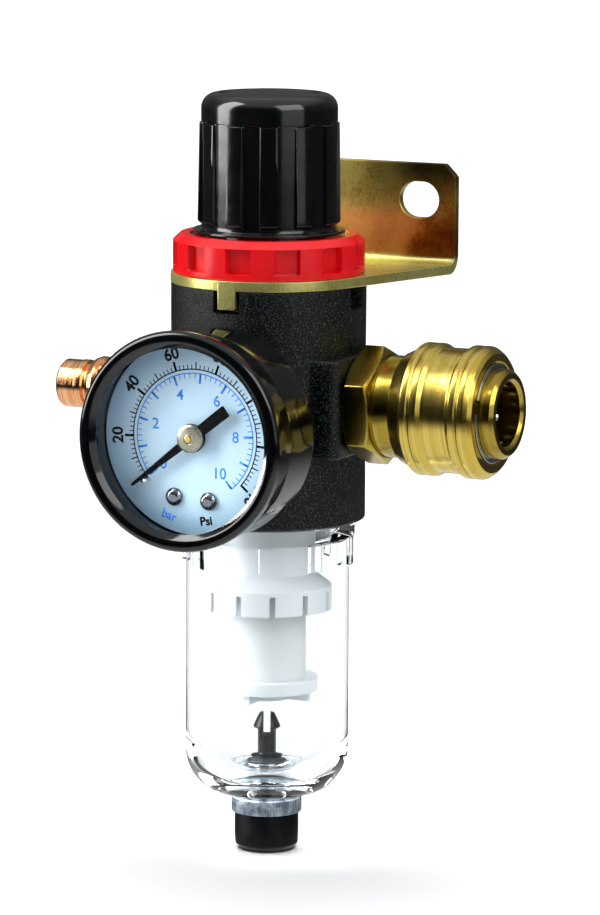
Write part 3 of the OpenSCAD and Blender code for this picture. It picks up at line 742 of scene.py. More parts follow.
rows = rounded((19.0, body_low), (20.0, body_low + 0.5, 0.5), (20, body_low + 9), steps=4)
rows = [(r, z, None) for r, z in rows]
edge = 0.9
for sign in (-1, 1):
    turn = [i * math.pi / 12 for i in range(7)]
    steps = [(20, port_h + sign * boss_half_h, inset) for inset in (7.5, 5, 3, 1.6)]
    steps += [(20, port_h + sign * (boss_half_h - edge * (1 - math.cos(t))),
        edge * (1 - math.sin(t))) for t in turn]
    rows += steps if sign < 0 else steps[::-1]
    if sign < 0:
        rows += [(20, port_h + dz, 0) for dz in (-6, 0, 6)]
notch_z = body_top - 4.5
rows += [(20, notch_z + dz, None) for dz in (-1.5, -0.6, -0.12, 0.0, 0.1, 0.22, 1.0)]
rows += [(r, z, None) for r, z in
    rounded((20, body_top - 2), (20, body_top, 0.35), (16.2, body_top), (16.2, body_top - 9),
    (15.2, body_top - 9), (15.2, body_low))]


def cast_radius(turns, r, z, inset):
    """Radii of the casting: its drum, a port boss where there is an inset, and the notches."""
    out = np.full(len(turns), float(r))
    if inset is not None:
        boss = boss_radius(turns, inset)
        out = 0.5 * (out + boss + np.sqrt((out - boss) ** 2 + 0.45 ** 2)) - 0.06
    if z > notch_z - 0.13 and r > 17.9:
        inside = away(turns, 0, 4)
        deep = eased((z - notch_z + 0.12) / 0.3)
        sideways = np.abs(20 * np.sin(inside))
        cut_in = deep * (sideways < 2.81)
        soft_side = eased((2.9 - sideways) / 0.14)
        depth = np.minimum(out, 17.95 / np.cos(inside))
        out = out + (depth - out) * (cut_in + (cut_in == 0) * soft_side * deep)
    return out


notch_edges = [q * math.pi / 2 + side * math.asin(v / 20) for q in range(4) for side in (-1, 1)
    for v in (2.74, 2.8, 2.86, 2.92)]
turns = np.array(sorted([2 * math.pi * i / 300 for i in range(300)]
    + [e % (2 * math.pi) for e in notch_edges]))
casting = grid([around(turns, cast_radius(turns, *row), row[1]) for row in rows], True)
boss_profile = rounded((4.9, 15), (8, 15), (8, 20.85, 0.3), (4.9, 20.85, 0.2), closed=True)
gauge_boss = turned(boss_profile, count=64, closed=True)
to_front = UPRIGHT.inverted() @ GAUGE
rear_boss = gauge_boss.copy()
gauge_boss.transform(to_front)
rear_boss.transform(Matrix.Rotation(math.pi, 4, "Z") @ to_front)
finished("body_casting", joined(casting, gauge_boss, rear_boss), UPRIGHT, f_body, "housing",
    "body", sharp=32, slot="powder_coat")
print("rows", len(rows), "columns", len(turns))

# %% [markdown]
# ## Black enamel on the gauge
# The gauge's steel case is stove enamelled: deep black, very glossy, with the slight
# orange-peel of sprayed enamel.

# %% Black enamel
f = Finish("black_enamel")
spot = f.place()
peel = f.noise(spot, 330, 2, 0.4)
dust = f.noise(spot, 2100, 3)
f_enamel = f.surface(base_color=f.blend(dust, paint(1, 2, 3), paint(6, 7, 8)),
    roughness=f.range(dust, 0.35, 0.7, 0.06, 0.15), normal=f.bump(peel + dust * 0.04, 0.025),
    coat_weight=0.2, coat_roughness=0.04)
print("enamel ready:", f_enamel.name)

# %% [markdown]
# ## The gauge's case and bezel
# A drum with a rolled back edge, and a pressed bezel over its front that bulges slightly and
# turns in to hold the window. Both are turned about the gauge's own axis.

# %% Case and bezel
case_r, bezel_r, window_r = 21.4, 22.2, 18.6
case_back = (axis.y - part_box("gauge_case")[1].y) / MM
bezel_front = (axis.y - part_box("gauge_bezel")[0].y) / MM
seam = (axis.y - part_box("gauge_case")[0].y) / MM
case_profile = rounded(
    (5, case_back), (case_r - 1.2, case_back, 1.1), (case_r, case_back + 2.4, 1.6),
    (case_r, seam, 0.1), (case_r - 1.2, seam), (case_r - 1.2, case_back + 1), (5, case_back + 1),
    closed=True, steps=7)
finished("gauge_drum", turned(case_profile, closed=True, count=192), GAUGE, f_enamel, "housing",
    "gauge_case", slot="black_enamel")
bezel_profile = rounded((case_r + 0.05, seam + 0.02, 0.1), (bezel_r, bezel_front - 1.9, 6),
    (bezel_r - 0.1, bezel_front, 1.25), (window_r + 1.3, bezel_front - 0.1, 0.9),
    (window_r + 0.05, bezel_front - 1.25, 0.35), (window_r + 0.05, bezel_front - 1.7, 0.05),
    (19.9, bezel_front - 1.7), (19.9, seam - 3.6), (case_r - 1.25, seam - 3.6),
    (case_r - 1.25, seam + 0.02), closed=True, steps=7)
finished("gauge_bezel_ring", turned(bezel_profile, closed=True, count=192), GAUGE, f_enamel,
    "housing", "gauge_bezel", slot="black_enamel")
print("bezel from", round(seam, 2), "to", round(bezel_front, 2))

# %% [markdown]
# ## Window
# A thin clear disc with softened edges: full transmission, no roughness and the faintest
# waviness. Its index is set well below a real plastic's 1.5, which keeps a veil off the dial.

# %% Window
f = Finish("window_clear")
spot = f.place()
f_window = f.surface(base_color=f.blend(f.noise(spot, 60, 2), (0.96, 0.98, 1, 1), (1, 1, 1, 1)),
    roughness=0.0, ior=1.2, transmission_weight=1.0, normal=f.bump(f.noise(spot, 70, 1), 0.004))
window_front, window_thick = bezel_front - 1.72, 1.15
finished("gauge_window_disc", turned(rounded(
    (0, window_front - window_thick), (19.8, window_front - window_thick, 0.2), (19.8,
    window_front, 0.2),
    (0, window_front)), count=128), GAUGE, f_window, "housing", "gauge_window",
    slot="window_plastic")
print("window thickness", window_thick)

# %% [markdown]
# ## The dial
# A pressed aluminium disc, painted pale blue and printed in black for psi and blue for bar. The
# marks repeat at a fixed step, so a second tree makes them from named sizes. The print stands a
# hundredth of a millimetre off the paint so that it never flickers into it.

# %% Dial plate and inks
f = Finish("dial_paint")
spot = f.place((axis.x, 0, gauge_z))
x, y, z = f.split(spot)
far = (x * x + z * z) ** 0.5
haze = f.noise(spot, 700, 3)
# The paint turns a darker blue towards the rim: painted shade from the bezel.
f_dial = f.surface(
    base_color=f.blend(f.range(far, 0.012, 0.0197), f.blend(haze, paint(166, 196, 216),
    paint(176, 205, 224)), paint(138, 172, 196)), roughness=f.range(haze, 0.3, 0.7, 0.28, 0.4),
    normal=f.bump(haze, 0.004))


def ink(name, thin, thick):
    f = Finish(name)
    cover = f.noise(f.place(), 5200, 2)
    return f.surface(base_color=f.blend(cover, thin, thick),
        roughness=f.range(cover, 0.3, 0.7, 0.32, 0.5),
        normal=f.bump(cover, 0.002), specular_ior_level=0.0)


f_ink_black = ink("ink_black", paint(12, 14, 18), paint(3, 4, 6))
f_ink_blue = ink("ink_blue", paint(62, 146, 236), paint(40, 122, 220))
dial_face = (axis.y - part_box("gauge_dial")[0].y) / MM
finished("dial_plate", turned(rounded(
    (0, dial_face - 0.5), (19.65, dial_face - 0.5, 0.1), (19.65, dial_face, 0.12), (0, dial_face)),
    count=128), GAUGE, f_dial, "housing", "gauge_dial", slot="dial_paint")

marks = Rule("scale_marks", {
    "Count": "NodeSocketInt", "Start": "NodeSocketFloat", "Step": "NodeSocketFloat",
    "Radius": "NodeSocketFloat", "Length": "NodeSocketFloat", "Width": "NodeSocketFloat",
    "Level": "NodeSocketFloat", "Material": "NodeSocketMaterial"})
size = marks.node("ShaderNodeCombineXYZ", None,
    {"X": marks.input("Length"), "Y": marks.input("Width"), "Z": 0.01})
spot = marks.node("ShaderNodeCombineXYZ", None,
    {"X": marks.input("Radius") + marks.input("Length") * 0.5, "Z": marks.input("Level")})
bar = marks.node("GeometryNodeMeshCube", None, {"Size": size})
marks.finish(round_the_axis(marks, marks.node(
    "GeometryNodeTransform", None, {"Geometry": bar, "Translation": spot})))
print("mark inputs:", len(marks.tree.interface.items_tree) - 1)

# %% [markdown]
# ## Printing the scales
# Angles run clockwise from the top. The dial sits a little turned in its bezel, as dials often
# do. Zero is at the lower left and ten bar is three quarters of a turn further on. Lettering is
# made a mesh at its own size first, and then moved to its place.

# %% Dial print
DIAL_TURN = 5.5
ZERO, SPAN = -135 + DIAL_TURN, 270.0
PER_BAR = SPAN / 10
PER_PSI = SPAN / 145.0
level = dial_face + 0.012


def clock(degrees):
    """A clockwise angle from the top as an angle about the gauge's axis."""
    return math.radians(90 - degrees)


def scale(count, first, step, radius, length, width, material):
    return marks.run(Count=count, Start=clock(first), Step=-math.radians(step), Radius=radius,
        Length=length, Width=width, Level=level, Material=material)


def arc_line(first, last, radius, width):
    """A thin printed arc."""
    around = [clock(first + (last - first) * i / 180) for i in range(181)]
    points, faces = [], []
    for a in around:
        for r, z in ((radius - width / 2, level - 0.005), (radius + width / 2, level - 0.005),
                (radius + width / 2, level + 0.005), (radius - width / 2, level + 0.005)):
            points.append((r * math.cos(a), r * math.sin(a), z))
    for i in range(180):
        faces += [(i * 4 + k, i * 4 + (k + 1) % 4, i * 4 + 4 + (k + 1) % 4, i * 4 + 4 + k)
            for k in range(4)]
    faces += [(0, 1, 2, 3), (720, 723, 722, 721)]
    return drawn(points, faces)


def lettering(text, tall, degrees, radius, tilt=0.0, heavy=0.02):
    """Text as a thin mesh: tall in millimetres, at a place on the dial, tilted clockwise."""
    words = bpy.data.curves.new("words", "FONT")
    words.body, words.size, words.extrude, words.offset = text, 1.0, 0.004, heavy
    words.resolution_u = 4
    mesh = as_mesh(linked("words", words))
    co = np.array([v.co for v in mesh.vertices])
    middle_xy = (co.max(0) + co.min(0)) / 2
    cap = 0.73 + 2 * heavy
    a = clock(degrees)
    mesh.transform(Matrix.Translation((radius * math.cos(a), radius * math.sin(a), level))
        @ Matrix.Rotation(-math.radians(tilt), 4, "Z")
        @ Matrix.Diagonal((tall / cap, tall / cap, 1, 1))
        @ Matrix.Translation((-middle_xy[0], -middle_xy[1], 0)))
    return mesh


black = [arc_line(ZERO, ZERO + 140 * PER_PSI, 13.5, 0.24),
    scale(71, ZERO, 2 * PER_PSI, 13.4, 1.0, 0.19, f_ink_black),
    scale(15, ZERO, 10 * PER_PSI, 13.4, 1.55, 0.26, f_ink_black),
    scale(8, ZERO, 20 * PER_PSI, 13.4, 2.0, 0.5, f_ink_black)]
black += [lettering(str(20 * i), 2.6, ZERO + 20 * i * PER_PSI, 17.05,
    ZERO + 20 * i * PER_PSI, 0.03) for i in range(1, 8)]
black.append(lettering("Psi", 1.95, 171.3, 16.75, -8.7, 0.035))
blue = [arc_line(ZERO, ZERO + SPAN, 12.7, 0.22),
    scale(51, ZERO, 0.2 * PER_BAR, 11.7, 0.95, 0.18, f_ink_blue),
    scale(11, ZERO, PER_BAR, 10.7, 1.95, 0.46, f_ink_blue)]
blue += [lettering(str(v), 2.3, ZERO + v * PER_BAR, 8.9, 0, 0.012) for v in range(0, 11, 2)]
blue.append(lettering("bar", 1.9, -160.9, 16.85, 19.1, 0.02))
for name, print_meshes, colour in (("dial_print_psi", black, f_ink_black),
        ("dial_print_bar", blue, f_ink_blue)):
    finished(name, joined(*print_meshes), GAUGE, colour, "housing", slot="dial_paint", sharp=180)
print("degrees for each bar", PER_BAR, "for each psi", round(PER_PSI, 3))

# %% [markdown]
# ## Bright metals
# Screws, the spun hub cap, steel balls and springs are all bright metal, and what tells them
# apart is how they were made: chrome is mirror smooth and darker on the screws, spun metal has
# fine rings, and drawn wire is a little dull. Smears and scratches vary the roughness.

# %% Bright metals
f = Finish("chrome_polished")
spot = f.place()
smear = f.noise(spot, 480, 4, 0.6)
f_chrome = f.surface(base_color=f.blend(smear, paint(196, 200, 206), paint(226, 229, 233)),
    metallic=1.0, roughness=f.range(smear, 0.3, 0.75, 0.08, 0.22),
    normal=f.bump(f.noise(spot, 1500, 3), 0.006))


f = Finish("chrome_smoked")
smear = f.noise(f.place(), 700, 4, 0.6)
f_screw = f.surface(base_color=f.blend(smear, paint(92, 96, 104), paint(136, 140, 148)),
    metallic=1.0, roughness=f.range(smear, 0.3, 0.75, 0.08, 0.2), normal=f.bump(smear, 0.006))


def steel(name, dark, light, low, high):
    f = Finish(name)
    spot = f.place()
    smear = f.noise(spot, 520, 5, 0.65)
    lines = f.noise(f.place(scale=(1, 1, 0.08)), 6000, 2)
    return f.surface(base_color=f.blend(smear, dark, light), metallic=1.0,
        roughness=f.range(smear * 0.6 + lines * 0.4, 0.3, 0.7, low, high),
        normal=f.bump(lines + smear * 0.5, 0.008))


f_steel = steel("steel_bright", paint(150, 154, 160), paint(196, 199, 204), 0.22, 0.4)
f_spring = steel("spring_steel", paint(120, 124, 130), paint(180, 184, 188), 0.25, 0.45)

f = Finish("hub_spun")
hub_centre = (axis.x, 0, gauge_z)
x, y, z = f.split(f.place(hub_centre))
far = (x * x + z * z) ** 0.5
rings = f.lathe_marks("y", hub_centre, 0.16)
f_hub = f.surface(
    base_color=f.blend(f.range(far, 0.0006, 0.0009), paint(158, 128, 66), paint(146, 144, 128)),
    metallic=1.0, roughness=f.range(rings, 0.3, 0.7, 0.2, 0.36), normal=f.bump(rings, 0.02))
print("metals:", f_chrome.name, f_steel.name, f_spring.name, f_hub.name)

# %% [markdown]
# ## What stands on the dial
# Two domed screws hold the dial to the movement, a pin stops the pointer, and the pointer is a
# thin black blade with a broad tail, pushed on the shaft under a spun cap. The screws are one
# dome copied by the tree.

# %% Screws, pin, pointer and cap
dome = turned(rounded((0, dial_face - 2.5), (1.0, dial_face - 2.5), (1.0, dial_face - 0.05),
    (1.0, dial_face + 0.02), (1.82, dial_face + 0.02, 0.08),
    (1.8, dial_face + 0.5, 0.5), (1.05, dial_face + 1.13, 0.8),
    (0, dial_face + 1.2), steps=6), count=48)
dome.transform(Matrix.Translation((12.95, 0, 0)))
spread = math.radians(34)
screws = repeated(dome, 2, math.radians(-90 - 3) - spread / 2, spread, f_screw)
finished("dial_screw_heads", screws, GAUGE, f_screw, "housing", "dial_screws", slot="chrome")

pin_at = middle("stop_pin")
pin = turned(rounded((0, dial_face - 0.01), (0.45, dial_face - 0.01), (0.45, dial_face + 2.3, 0.2),
    (0, dial_face + 2.3)), count=24)
pin.transform(Matrix.Translation(((pin_at.x - axis.x) / MM, (pin_at.z - gauge_z) / MM, 0)))
finished("stop_pin_post", pin, GAUGE, f_chrome, "housing", "stop_pin", slot="chrome")

f = Finish("pointer_black")
spot = f.place()
f_pointer = f.surface(base_color=f.blend(f.noise(spot, 900, 3), paint(2, 2, 3), paint(8, 9, 11)),
    roughness=f.range(f.noise(spot, 600, 2), 0.3, 0.7, 0.28, 0.42),
    normal=f.bump(f.noise(spot, 2500, 2), 0.006), specular_ior_level=0.0)
blade_z = 35.0
outline = [(-9.7, -1.1), (-9.5, -1.25), (-3, -1.15), (-1.6, -0.95), (4, -0.78), (16.4, -0.3),
    (16.8, -0.12), (16.8, 0.12), (16.4, 0.3), (4, 0.78), (-1.6, 0.95), (-3, 1.15),
    (-9.5, 1.25), (-9.7, 1.1)]
work = bmesh.new()
lower = [work.verts.new((x, y, blade_z + 0.03)) for x, y in outline]
face = work.faces.new(lower)
lifted = bmesh.ops.extrude_face_region(work, geom=[face])
for v in [g for g in lifted["geom"] if isinstance(g, bmesh.types.BMVert)]:
    v.co.z += 0.42
upper = [e for e in work.edges if min(v.co.z for v in e.verts) > blade_z + 0.3]
bmesh.ops.bevel(work, geom=upper, offset=0.09, segments=2, profile=0.5, affect="EDGES")
blade = as_drawing(work)
collar = turned(rounded((0, 34.35), (2.7, 34.35, 0.15), (2.9, 35.1, 0.2), (2.9, 35.5, 0.1),
    (0, 35.5)), count=64)
rest = 133.5 - DIAL_TURN
swing = Matrix.Rotation(math.radians(90 + rest), 4, "Z")
whole = joined(blade, collar)
whole.transform(swing)
finished("pointer_blade", whole, GAUGE, f_pointer, "pointer", "pointer", slot="black_enamel")
finished("pointer_cap", turned(rounded(
    (0, 35.52), (2.85, 35.52, 0.1), (2.85, 36.0, 0.2), (2.3, 36.28, 0.3), (1.15, 36.42, 0.1),
    (1.0, 36.32, 0.06), (0.85, 36.5, 0.15), (0, 36.66)), count=72), GAUGE, f_hub, "pointer",
    "pointer_hub", slot="steel")
print("pointer rests", rest, "degrees left of the top")

# %% [markdown]
# ## Brass
# The coupler is turned from bar and lightly polished: warm yellow metal, fine grooves square to
# the axis from the tool, and a thin brown tarnish that gathers in the low places. The grooves
# are a one-dimensional noise along the axis, so they close on themselves round every diameter.

# %% Brass
port_centre = (0, axis.y, port_z)


def brass(name, bright, deep, tarnish, pitch, low, high, depth=0.012):
    f = Finish(name)
    spot = f.place()
    marks_made = f.lathe_marks("x", port_centre, pitch)
    wide = f.lathe_marks("x", port_centre, pitch * 14)
    stain = f.noise(spot, 150, 5, 0.62, 0.8)
    specks = f.noise(spot, 1700, 4, 0.6)
    colour = f.blend(f.range(wide, 0.35, 0.65), deep, bright)
    colour = f.blend(f.range(stain * 0.7 + specks * 0.3, 0.5, 0.68) * 0.6, colour, tarnish)
    return f.surface(base_color=colour, metallic=1.0,
        roughness=f.range(marks_made * 0.5 + stain * 0.5, 0.3, 0.7, low, high),
        normal=f.bump(marks_made + specks * 0.25, depth))


f_brass = brass("brass_turned", paint(226, 202, 108), paint(212, 184, 82), paint(170, 130, 48),
    0.09, 0.15, 0.27, 0.006)
f_brass_hex = brass("brass_drawn", paint(184, 164, 76), paint(168, 144, 58), paint(130, 98, 36),
    0.2, 0.12, 0.24, 0.008)
f_brass_inner = brass("brass_inner", paint(206, 160, 86), paint(178, 128, 62),
    paint(116, 72, 30), 0.2, 0.25, 0.42)
f_copper = brass("copper_brass", paint(250, 196, 146), paint(238, 162, 108), paint(160, 70, 36),
    0.1, 0.08, 0.2)
print("brasses:", f_brass.name, f_brass_hex.name, f_brass_inner.name, f_copper.name)

# %% [markdown]
# ## The quick coupler
# A hexagon screws into the body, and a socket with six holes for locking balls stands in front
# of it. The hexagon is a turned grid whose radius follows the flats, and a cone takes its
# corners off at both ends, which leaves the curved chamfer lines that turned nuts have.

# %% Coupler body
af = 21.6
hex_turn = math.radians(5.5)
hex_back = boss_x + 0.08
hex_front = hex_back + 5.9
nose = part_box("coupler_nose")[1].x / MM


def hexagon(across, turn):
    def radii(turns, r, z):
        if r < across / 2 - 0.7:
            return np.full(len(turns), r)
        flat = across / 2 / np.cos((turns - turn) % (math.pi / 3) - math.pi / 6)
        return 0.5 * (flat + r - np.sqrt((flat - r) ** 2 + 0.02))
    return radii


hex_profile = [(6.4, 12.0)] + [(6.4, hex_back - 0.3)] + [(10.0, hex_back)] + \
    [(af / 2 - 0.2 + 1.75 * t, hex_back + 0.9 * t) for t in np.linspace(0, 1, 7)] + \
    [(12.47, z) for z in np.linspace(hex_back + 1.2, hex_front - 1.2, 5)] + \
    [(af / 2 - 0.2 + 1.75 * t, hex_front - 0.9 * t) for t in np.linspace(1, 0, 7)] + \
    [(10.0, hex_front)]
neck_profile = rounded((9.8, hex_front), (9.8, hex_front + 0.7, 0.3), (10.4, hex_front + 0.75),
    (10.4, 37.95, 0.2), (9.1, 37.95), (9.1, 49.9), (8.65, 49.95),
    (8.65, 50.85), (9.1, 50.9), (9.1, nose - 0.9, 0.3),
    (8.35, nose, 0.45), (7.15, nose, 0.3), (6.5, nose - 0.65, 0.2),
    (6.5, 49.1), (7.0, 49.05), (7.0, 45.55), (6.5, 45.5), (6.5, 42.4),
    (7.5, 42.4), (7.5, 40.4), (6.2, 40.4), (6.2, 25.0), (4.5, 24.6), (4.5, 12.0))
finished("coupler_socket", turned(hex_profile + neck_profile, hexagon(af, hex_turn), closed=True,
    count=180, edges=[hex_turn + i * math.pi / 3 + s for i in range(6) for s in (-0.012, 0.012)]),
    OUTLET, f_brass_hex, "housing", "coupler_body", "coupler_nose", sharp=30, slot="brass")
print("nose at", round(nose, 2), "mm; hexagon", af, "mm across flats")

# %% [markdown]
# ## The sleeve and its ring
# The sleeve is the part that is pulled back to let a plug go. It has a taper at the back, two
# pairs of rounded ridges for the fingers, and a recess in front with a split steel ring that
# keeps it on. The corners of the ridges are worn soft, so the profile has large fillets.

# %% Sleeve and retaining ring
sleeve_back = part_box("coupler_sleeve")[0].x / MM
sleeve_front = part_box("coupler_sleeve")[1].x / MM
sleeve_profile = rounded(
    (10.55, sleeve_back, 0.15), (11.2, sleeve_back, 0.3), (12.55, sleeve_back + 2.9, 0.5),
    (12.75, sleeve_back + 3.1, 0.2), (13.5, sleeve_back + 3.5, 0.45),
    (13.5, sleeve_back + 4.95, 0.5), (12.85, sleeve_back + 5.2, 0.22),
    (13.5, sleeve_back + 5.45, 0.5), (13.5, sleeve_back + 7.0, 0.7), (12.7, sleeve_back + 8.0, 0.5),
    (12.7, sleeve_front - 5.6, 0.4), (13.05, sleeve_front - 5.3, 0.2),
    (13.5, sleeve_front - 4.85, 0.4), (13.5, sleeve_front - 3.55, 0.5),
    (12.85, sleeve_front - 3.3, 0.22), (13.5, sleeve_front - 3.05, 0.5),
    (13.5, sleeve_front - 1.75, 0.6), (12.85, sleeve_front - 0.7, 0.5),
    (12.1, sleeve_front, 0.3), (10.45, sleeve_front, 0.2), (10.45, sleeve_front - 0.8),
    (9.18, sleeve_front - 0.8), (9.18, 45.4), (10.55, 45.4), closed=True, steps=6)
finished("coupler_sleeve_ridged", turned(sleeve_profile, closed=True, count=192), OUTLET,
    f_brass, "coupler_sleeve", "coupler_sleeve", sharp=30, slot="brass")

ring_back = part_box("retaining_ring")[0].x / MM
gap_at, gap_half = math.radians(-104), math.asin(1.4 / 9.5)
section = rounded((8.75, ring_back, 0.12), (10.15, ring_back, 0.12), (10.15, ring_back + 0.8, 0.12),
    (8.75, ring_back + 0.8, 0.12), closed=True, steps=3)
points, faces, size = [], [], len(section)
sweep = np.linspace(gap_at + gap_half, gap_at + 2 * math.pi - gap_half, 121)
for a in sweep:
    points += [(r * math.cos(a), r * math.sin(a), z) for r, z in section]
for i in range(120):
    faces += [(i * size + k, i * size + (k + 1) % size, (i + 1) * size + (k + 1) % size,
        (i + 1) * size + k) for k in range(size)]
faces += [tuple(range(size)), tuple(range(120 * size + size - 1, 120 * size - 1, -1))]
finished("coupler_split_ring", drawn(points, faces), OUTLET, f_steel, "housing",
    "retaining_ring", slot="steel")

work = bmesh.new()
bmesh.ops.create_uvsphere(work, u_segments=32, v_segments=20, radius=1.48,
    matrix=Matrix.Translation((7.6, 0, 47.4)))
finished("coupler_balls", repeated(as_drawing(work), 6, math.radians(15), math.pi / 3,
    f_chrome), OUTLET,
    f_chrome, "housing", "locking_balls", sharp=180, slot="chrome")
print("sleeve from", round(sleeve_back, 2), "to", round(sleeve_front, 2), "mm")

# %% [markdown]
# ## The inlet nipple
# A turned plug for a hose coupling: a hexagon at the body, a plain neck, a rounded collar and a
# grooved tip. It has the copper-red shine of a lacquered or copper-flashed brass.

# %% Inlet nipple
tip = -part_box("inlet_nipple")[0].x / MM
nipple_profile = [(6.4, 12.0), (6.4, hex_back - 0.3), (7.2, hex_back)] + \
    [(8.3 + 1.5 * t, hex_back + 0.7 * t) for t in np.linspace(0, 1, 6)] + \
    [(9.82, z) for z in np.linspace(hex_back + 1, 26.5, 4)] + \
    [(8.3 + 1.5 * t, 27.5 - 0.7 * t) for t in np.linspace(1, 0, 6)] + \
    rounded((7.6, 27.5), (7.6, 28.6, 0.3), (5.2, 30.5, 0.5), (5.2, 36.4, 0.3), (5.95, 37.2, 0.4),
    (6.05, 38.2, 0.6), (5.7, 39.2, 0.5), (4.9, 40.1, 0.3), (4.35, 40.35, 0.15),
    (4.35, 40.85, 0.15), (5.12, 41.2, 0.15), (5.12, 42.5, 0.15), (5.0, 42.75, 0.1),
    (5.03, tip - 0.6, 0.2), (4.5, tip, 0.25), (3.5, tip, 0.2), (3.2, tip - 0.4),
    (3.2, 12.0), steps=5)


def nipple_hexagon(turns, r, z):
    if z > 27.6 or r < 7.9:
        return np.full(len(turns), r)
    flat = 8.5 / np.cos((turns - math.pi / 6) % (math.pi / 3) - math.pi / 6)
    return 0.5 * (flat + r - np.sqrt((flat - r) ** 2 + 0.015))


finished("inlet_nipple_turned", turned(nipple_profile, nipple_hexagon, closed=True, count=144),
    INLET, f_copper, "housing", "inlet_nipple", sharp=30, slot="copper_brass")
print("nipple tip at", round(tip, 2), "mm")

# %% [markdown]
# ## Clear bowl
# The bowl is moulded in clear plastic, about two millimetres thick. It has to be a real shell,
# with an inside and an outside, because what the eye reads as clear plastic is the double edge
# and the way the round shoulder bends the background. Eight lugs under its collar hold it while
# it is screwed in. The lugs are lifted out of the same grid, so the plastic stays one solid. The
# index is 1.35, lower than a real plastic's, which weakens the dark bands at the shoulder.

# %% Clear plastic and the bowl
f = Finish("bowl_clear")
spot = f.place((axis.x, axis.y, 0))
flow = f.noise(f.place((axis.x, axis.y, 0), (1, 1, 0.4)), 85, 3, 0.5)
f_bowl = f.surface(
    base_color=f.blend(f.noise(spot, 40, 2), (0.885, 0.91, 0.922, 1), (0.905, 0.926, 0.936, 1)),
    roughness=0.01, ior=1.35, transmission_weight=1.0, normal=f.bump(flow, 0.012, 0.7))
bowl_low = height("bowl", top=False)
collar_r = (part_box("bowl")[1].x - axis.x) / MM
lugs, lug_first, lug_half = 8, FRONT + math.radians(15), 1.5 / 17.8
lug_low, collar_low = body_low - 9.3, body_low - 3.35


def with_lugs(turns, r, z):
    if not (lug_low - 0.05 < z < collar_low + 0.2 and r > 16.5):
        return np.full(len(turns), r)
    inside = eased((lug_half + 0.006 - away(turns, lug_first, lugs)) / 0.012)
    return r + inside * (collar_r - 0.15 - r) * eased((z - lug_low) / 0.3)


outer = rounded((3.3, bowl_low, 0.15), (5.2, bowl_low, 0.25), (5.2, 11.4), (6.3, 11.4),
    (6.3, 11.35), (8.6, 11.55, 1.0), (16.8, 13.2, 9.2), (16.8, 26), steps=14)
outer += [(16.8, z) for z in (30, 38, 46, 54, lug_low - 0.1)]
outer += [(16.8, lug_low + d) for d in (0.0, 0.1, 0.2, 0.32, 1.5, 3.5, 5.3)]
outer += rounded((16.8, collar_low - 0.2), (16.8, collar_low, 0.2), (collar_r, collar_low + 0.1,
    0.3),
    (collar_r, body_low - 0.08, 0.3), (15.05, body_low - 0.08), (15.05, body_low + 8),
    (13, body_low + 8), steps=4)
inner = rounded((13, body_low + 8), (13, body_low - 2), (14.55, body_low - 4, 1),
    (14.6, 40), (14.6, 16.0, 8.2), (7.4, 15.75, 0.8), (7.3, 15.35, 0.2),
    (5.2, 15.35, 0.2), (5.0, 15.6, 0.1), (3.3, 15.6, 0.15), (3.3, bowl_low), steps=12)
lug_edges = edge_angles(lug_first, lugs, lug_half, 0.006)
finished("bowl_clear_shell", turned(outer + inner[1:-1], with_lugs, closed=True, count=192,
    edges=lug_edges), UPRIGHT, f_bowl, "housing", "bowl", sharp=40, slot="clear_plastic")
print("lugs", lugs, "collar radius", round(collar_r, 2))

# %% [markdown]
# ## White plastics inside
# The deflector spins the air, the filter is sintered from beads, and the baffle keeps the water
# still below it. They are milky plastics, so light goes a little way in. Seen through the bowl
# they are pale and soft.

# %% White plastics
def milky(name, light, shade, scale, depth, rough):
    f = Finish(name)
    spot = f.place()
    tone = f.noise(spot, scale, 4, 0.6)
    return f.surface(base_color=f.blend(tone, shade, light),
        roughness=f.range(tone, 0.3, 0.7, rough, rough + 0.15),
        subsurface_weight=0.25, subsurface_radius=(0.003, 0.003, 0.003),
        subsurface_scale=1.0, normal=f.bump(tone, depth))


f_white = milky("white_plastic", paint(206, 211, 213), paint(194, 200, 203), 260, 0.02, 0.35)
f_filter = milky("filter_sintered", paint(208, 212, 212), paint(190, 195, 196), 2400, 0.08, 0.7)
for node in ("deflector", "baffle", "valve_guide", "piston"):
    frame["nodes"][node].material_slots[0].material = f_white
frame["nodes"]["filter_element"].material_slots[0].material = f_filter
print("milky plastics:", f_white.name, f_filter.name)

# %% [markdown]
# ## The drain
# A worn grey die-cast collar sits under the bowl, with a dull black button in it. Pushing the
# button lifts a rubber cone off the bowl's floor. The stem ends in a fork with two barbs that
# snap over a guide.

# %% Worn grey metal, collar, button, stem and seal
f = Finish("grey_metal_worn")
spot = f.place((axis.x, axis.y, 0))
stain = f.noise(spot, 420, 6, 0.7, 0.7)
scratch = f.noise(f.place((axis.x, axis.y, 0), (1, 1, 0.15)), 3600, 3, 0.7)
wear = f.range(stain * 0.8 + scratch * 0.3, 0.42, 0.68)
f_grey = f.surface(base_color=f.blend(wear, paint(92, 106, 120), paint(176, 188, 198)),
    metallic=0.75, roughness=f.range(stain, 0.3, 0.7, 0.34, 0.6),
    normal=f.bump(stain + scratch * 0.3, 0.06))
collar_low_z, collar_high_z = height("drain_collar", top=False), height("drain_collar")
finished("drain_collar_worn", turned(rounded(
    (5.3, collar_high_z), (7.0, collar_high_z, 0.15), (7.0, collar_high_z - 0.7, 0.2),
    (7.25, collar_high_z - 0.9, 0.15), (7.25, collar_low_z, 0.3), (6.7, collar_low_z, 0.1),
    (6.7, 9.7), (5.3, 9.7), closed=True, steps=4), closed=True, count=128), UPRIGHT, f_grey,
    "housing", "drain_collar", slot="grey_metal")
button_top = height("drain_button")
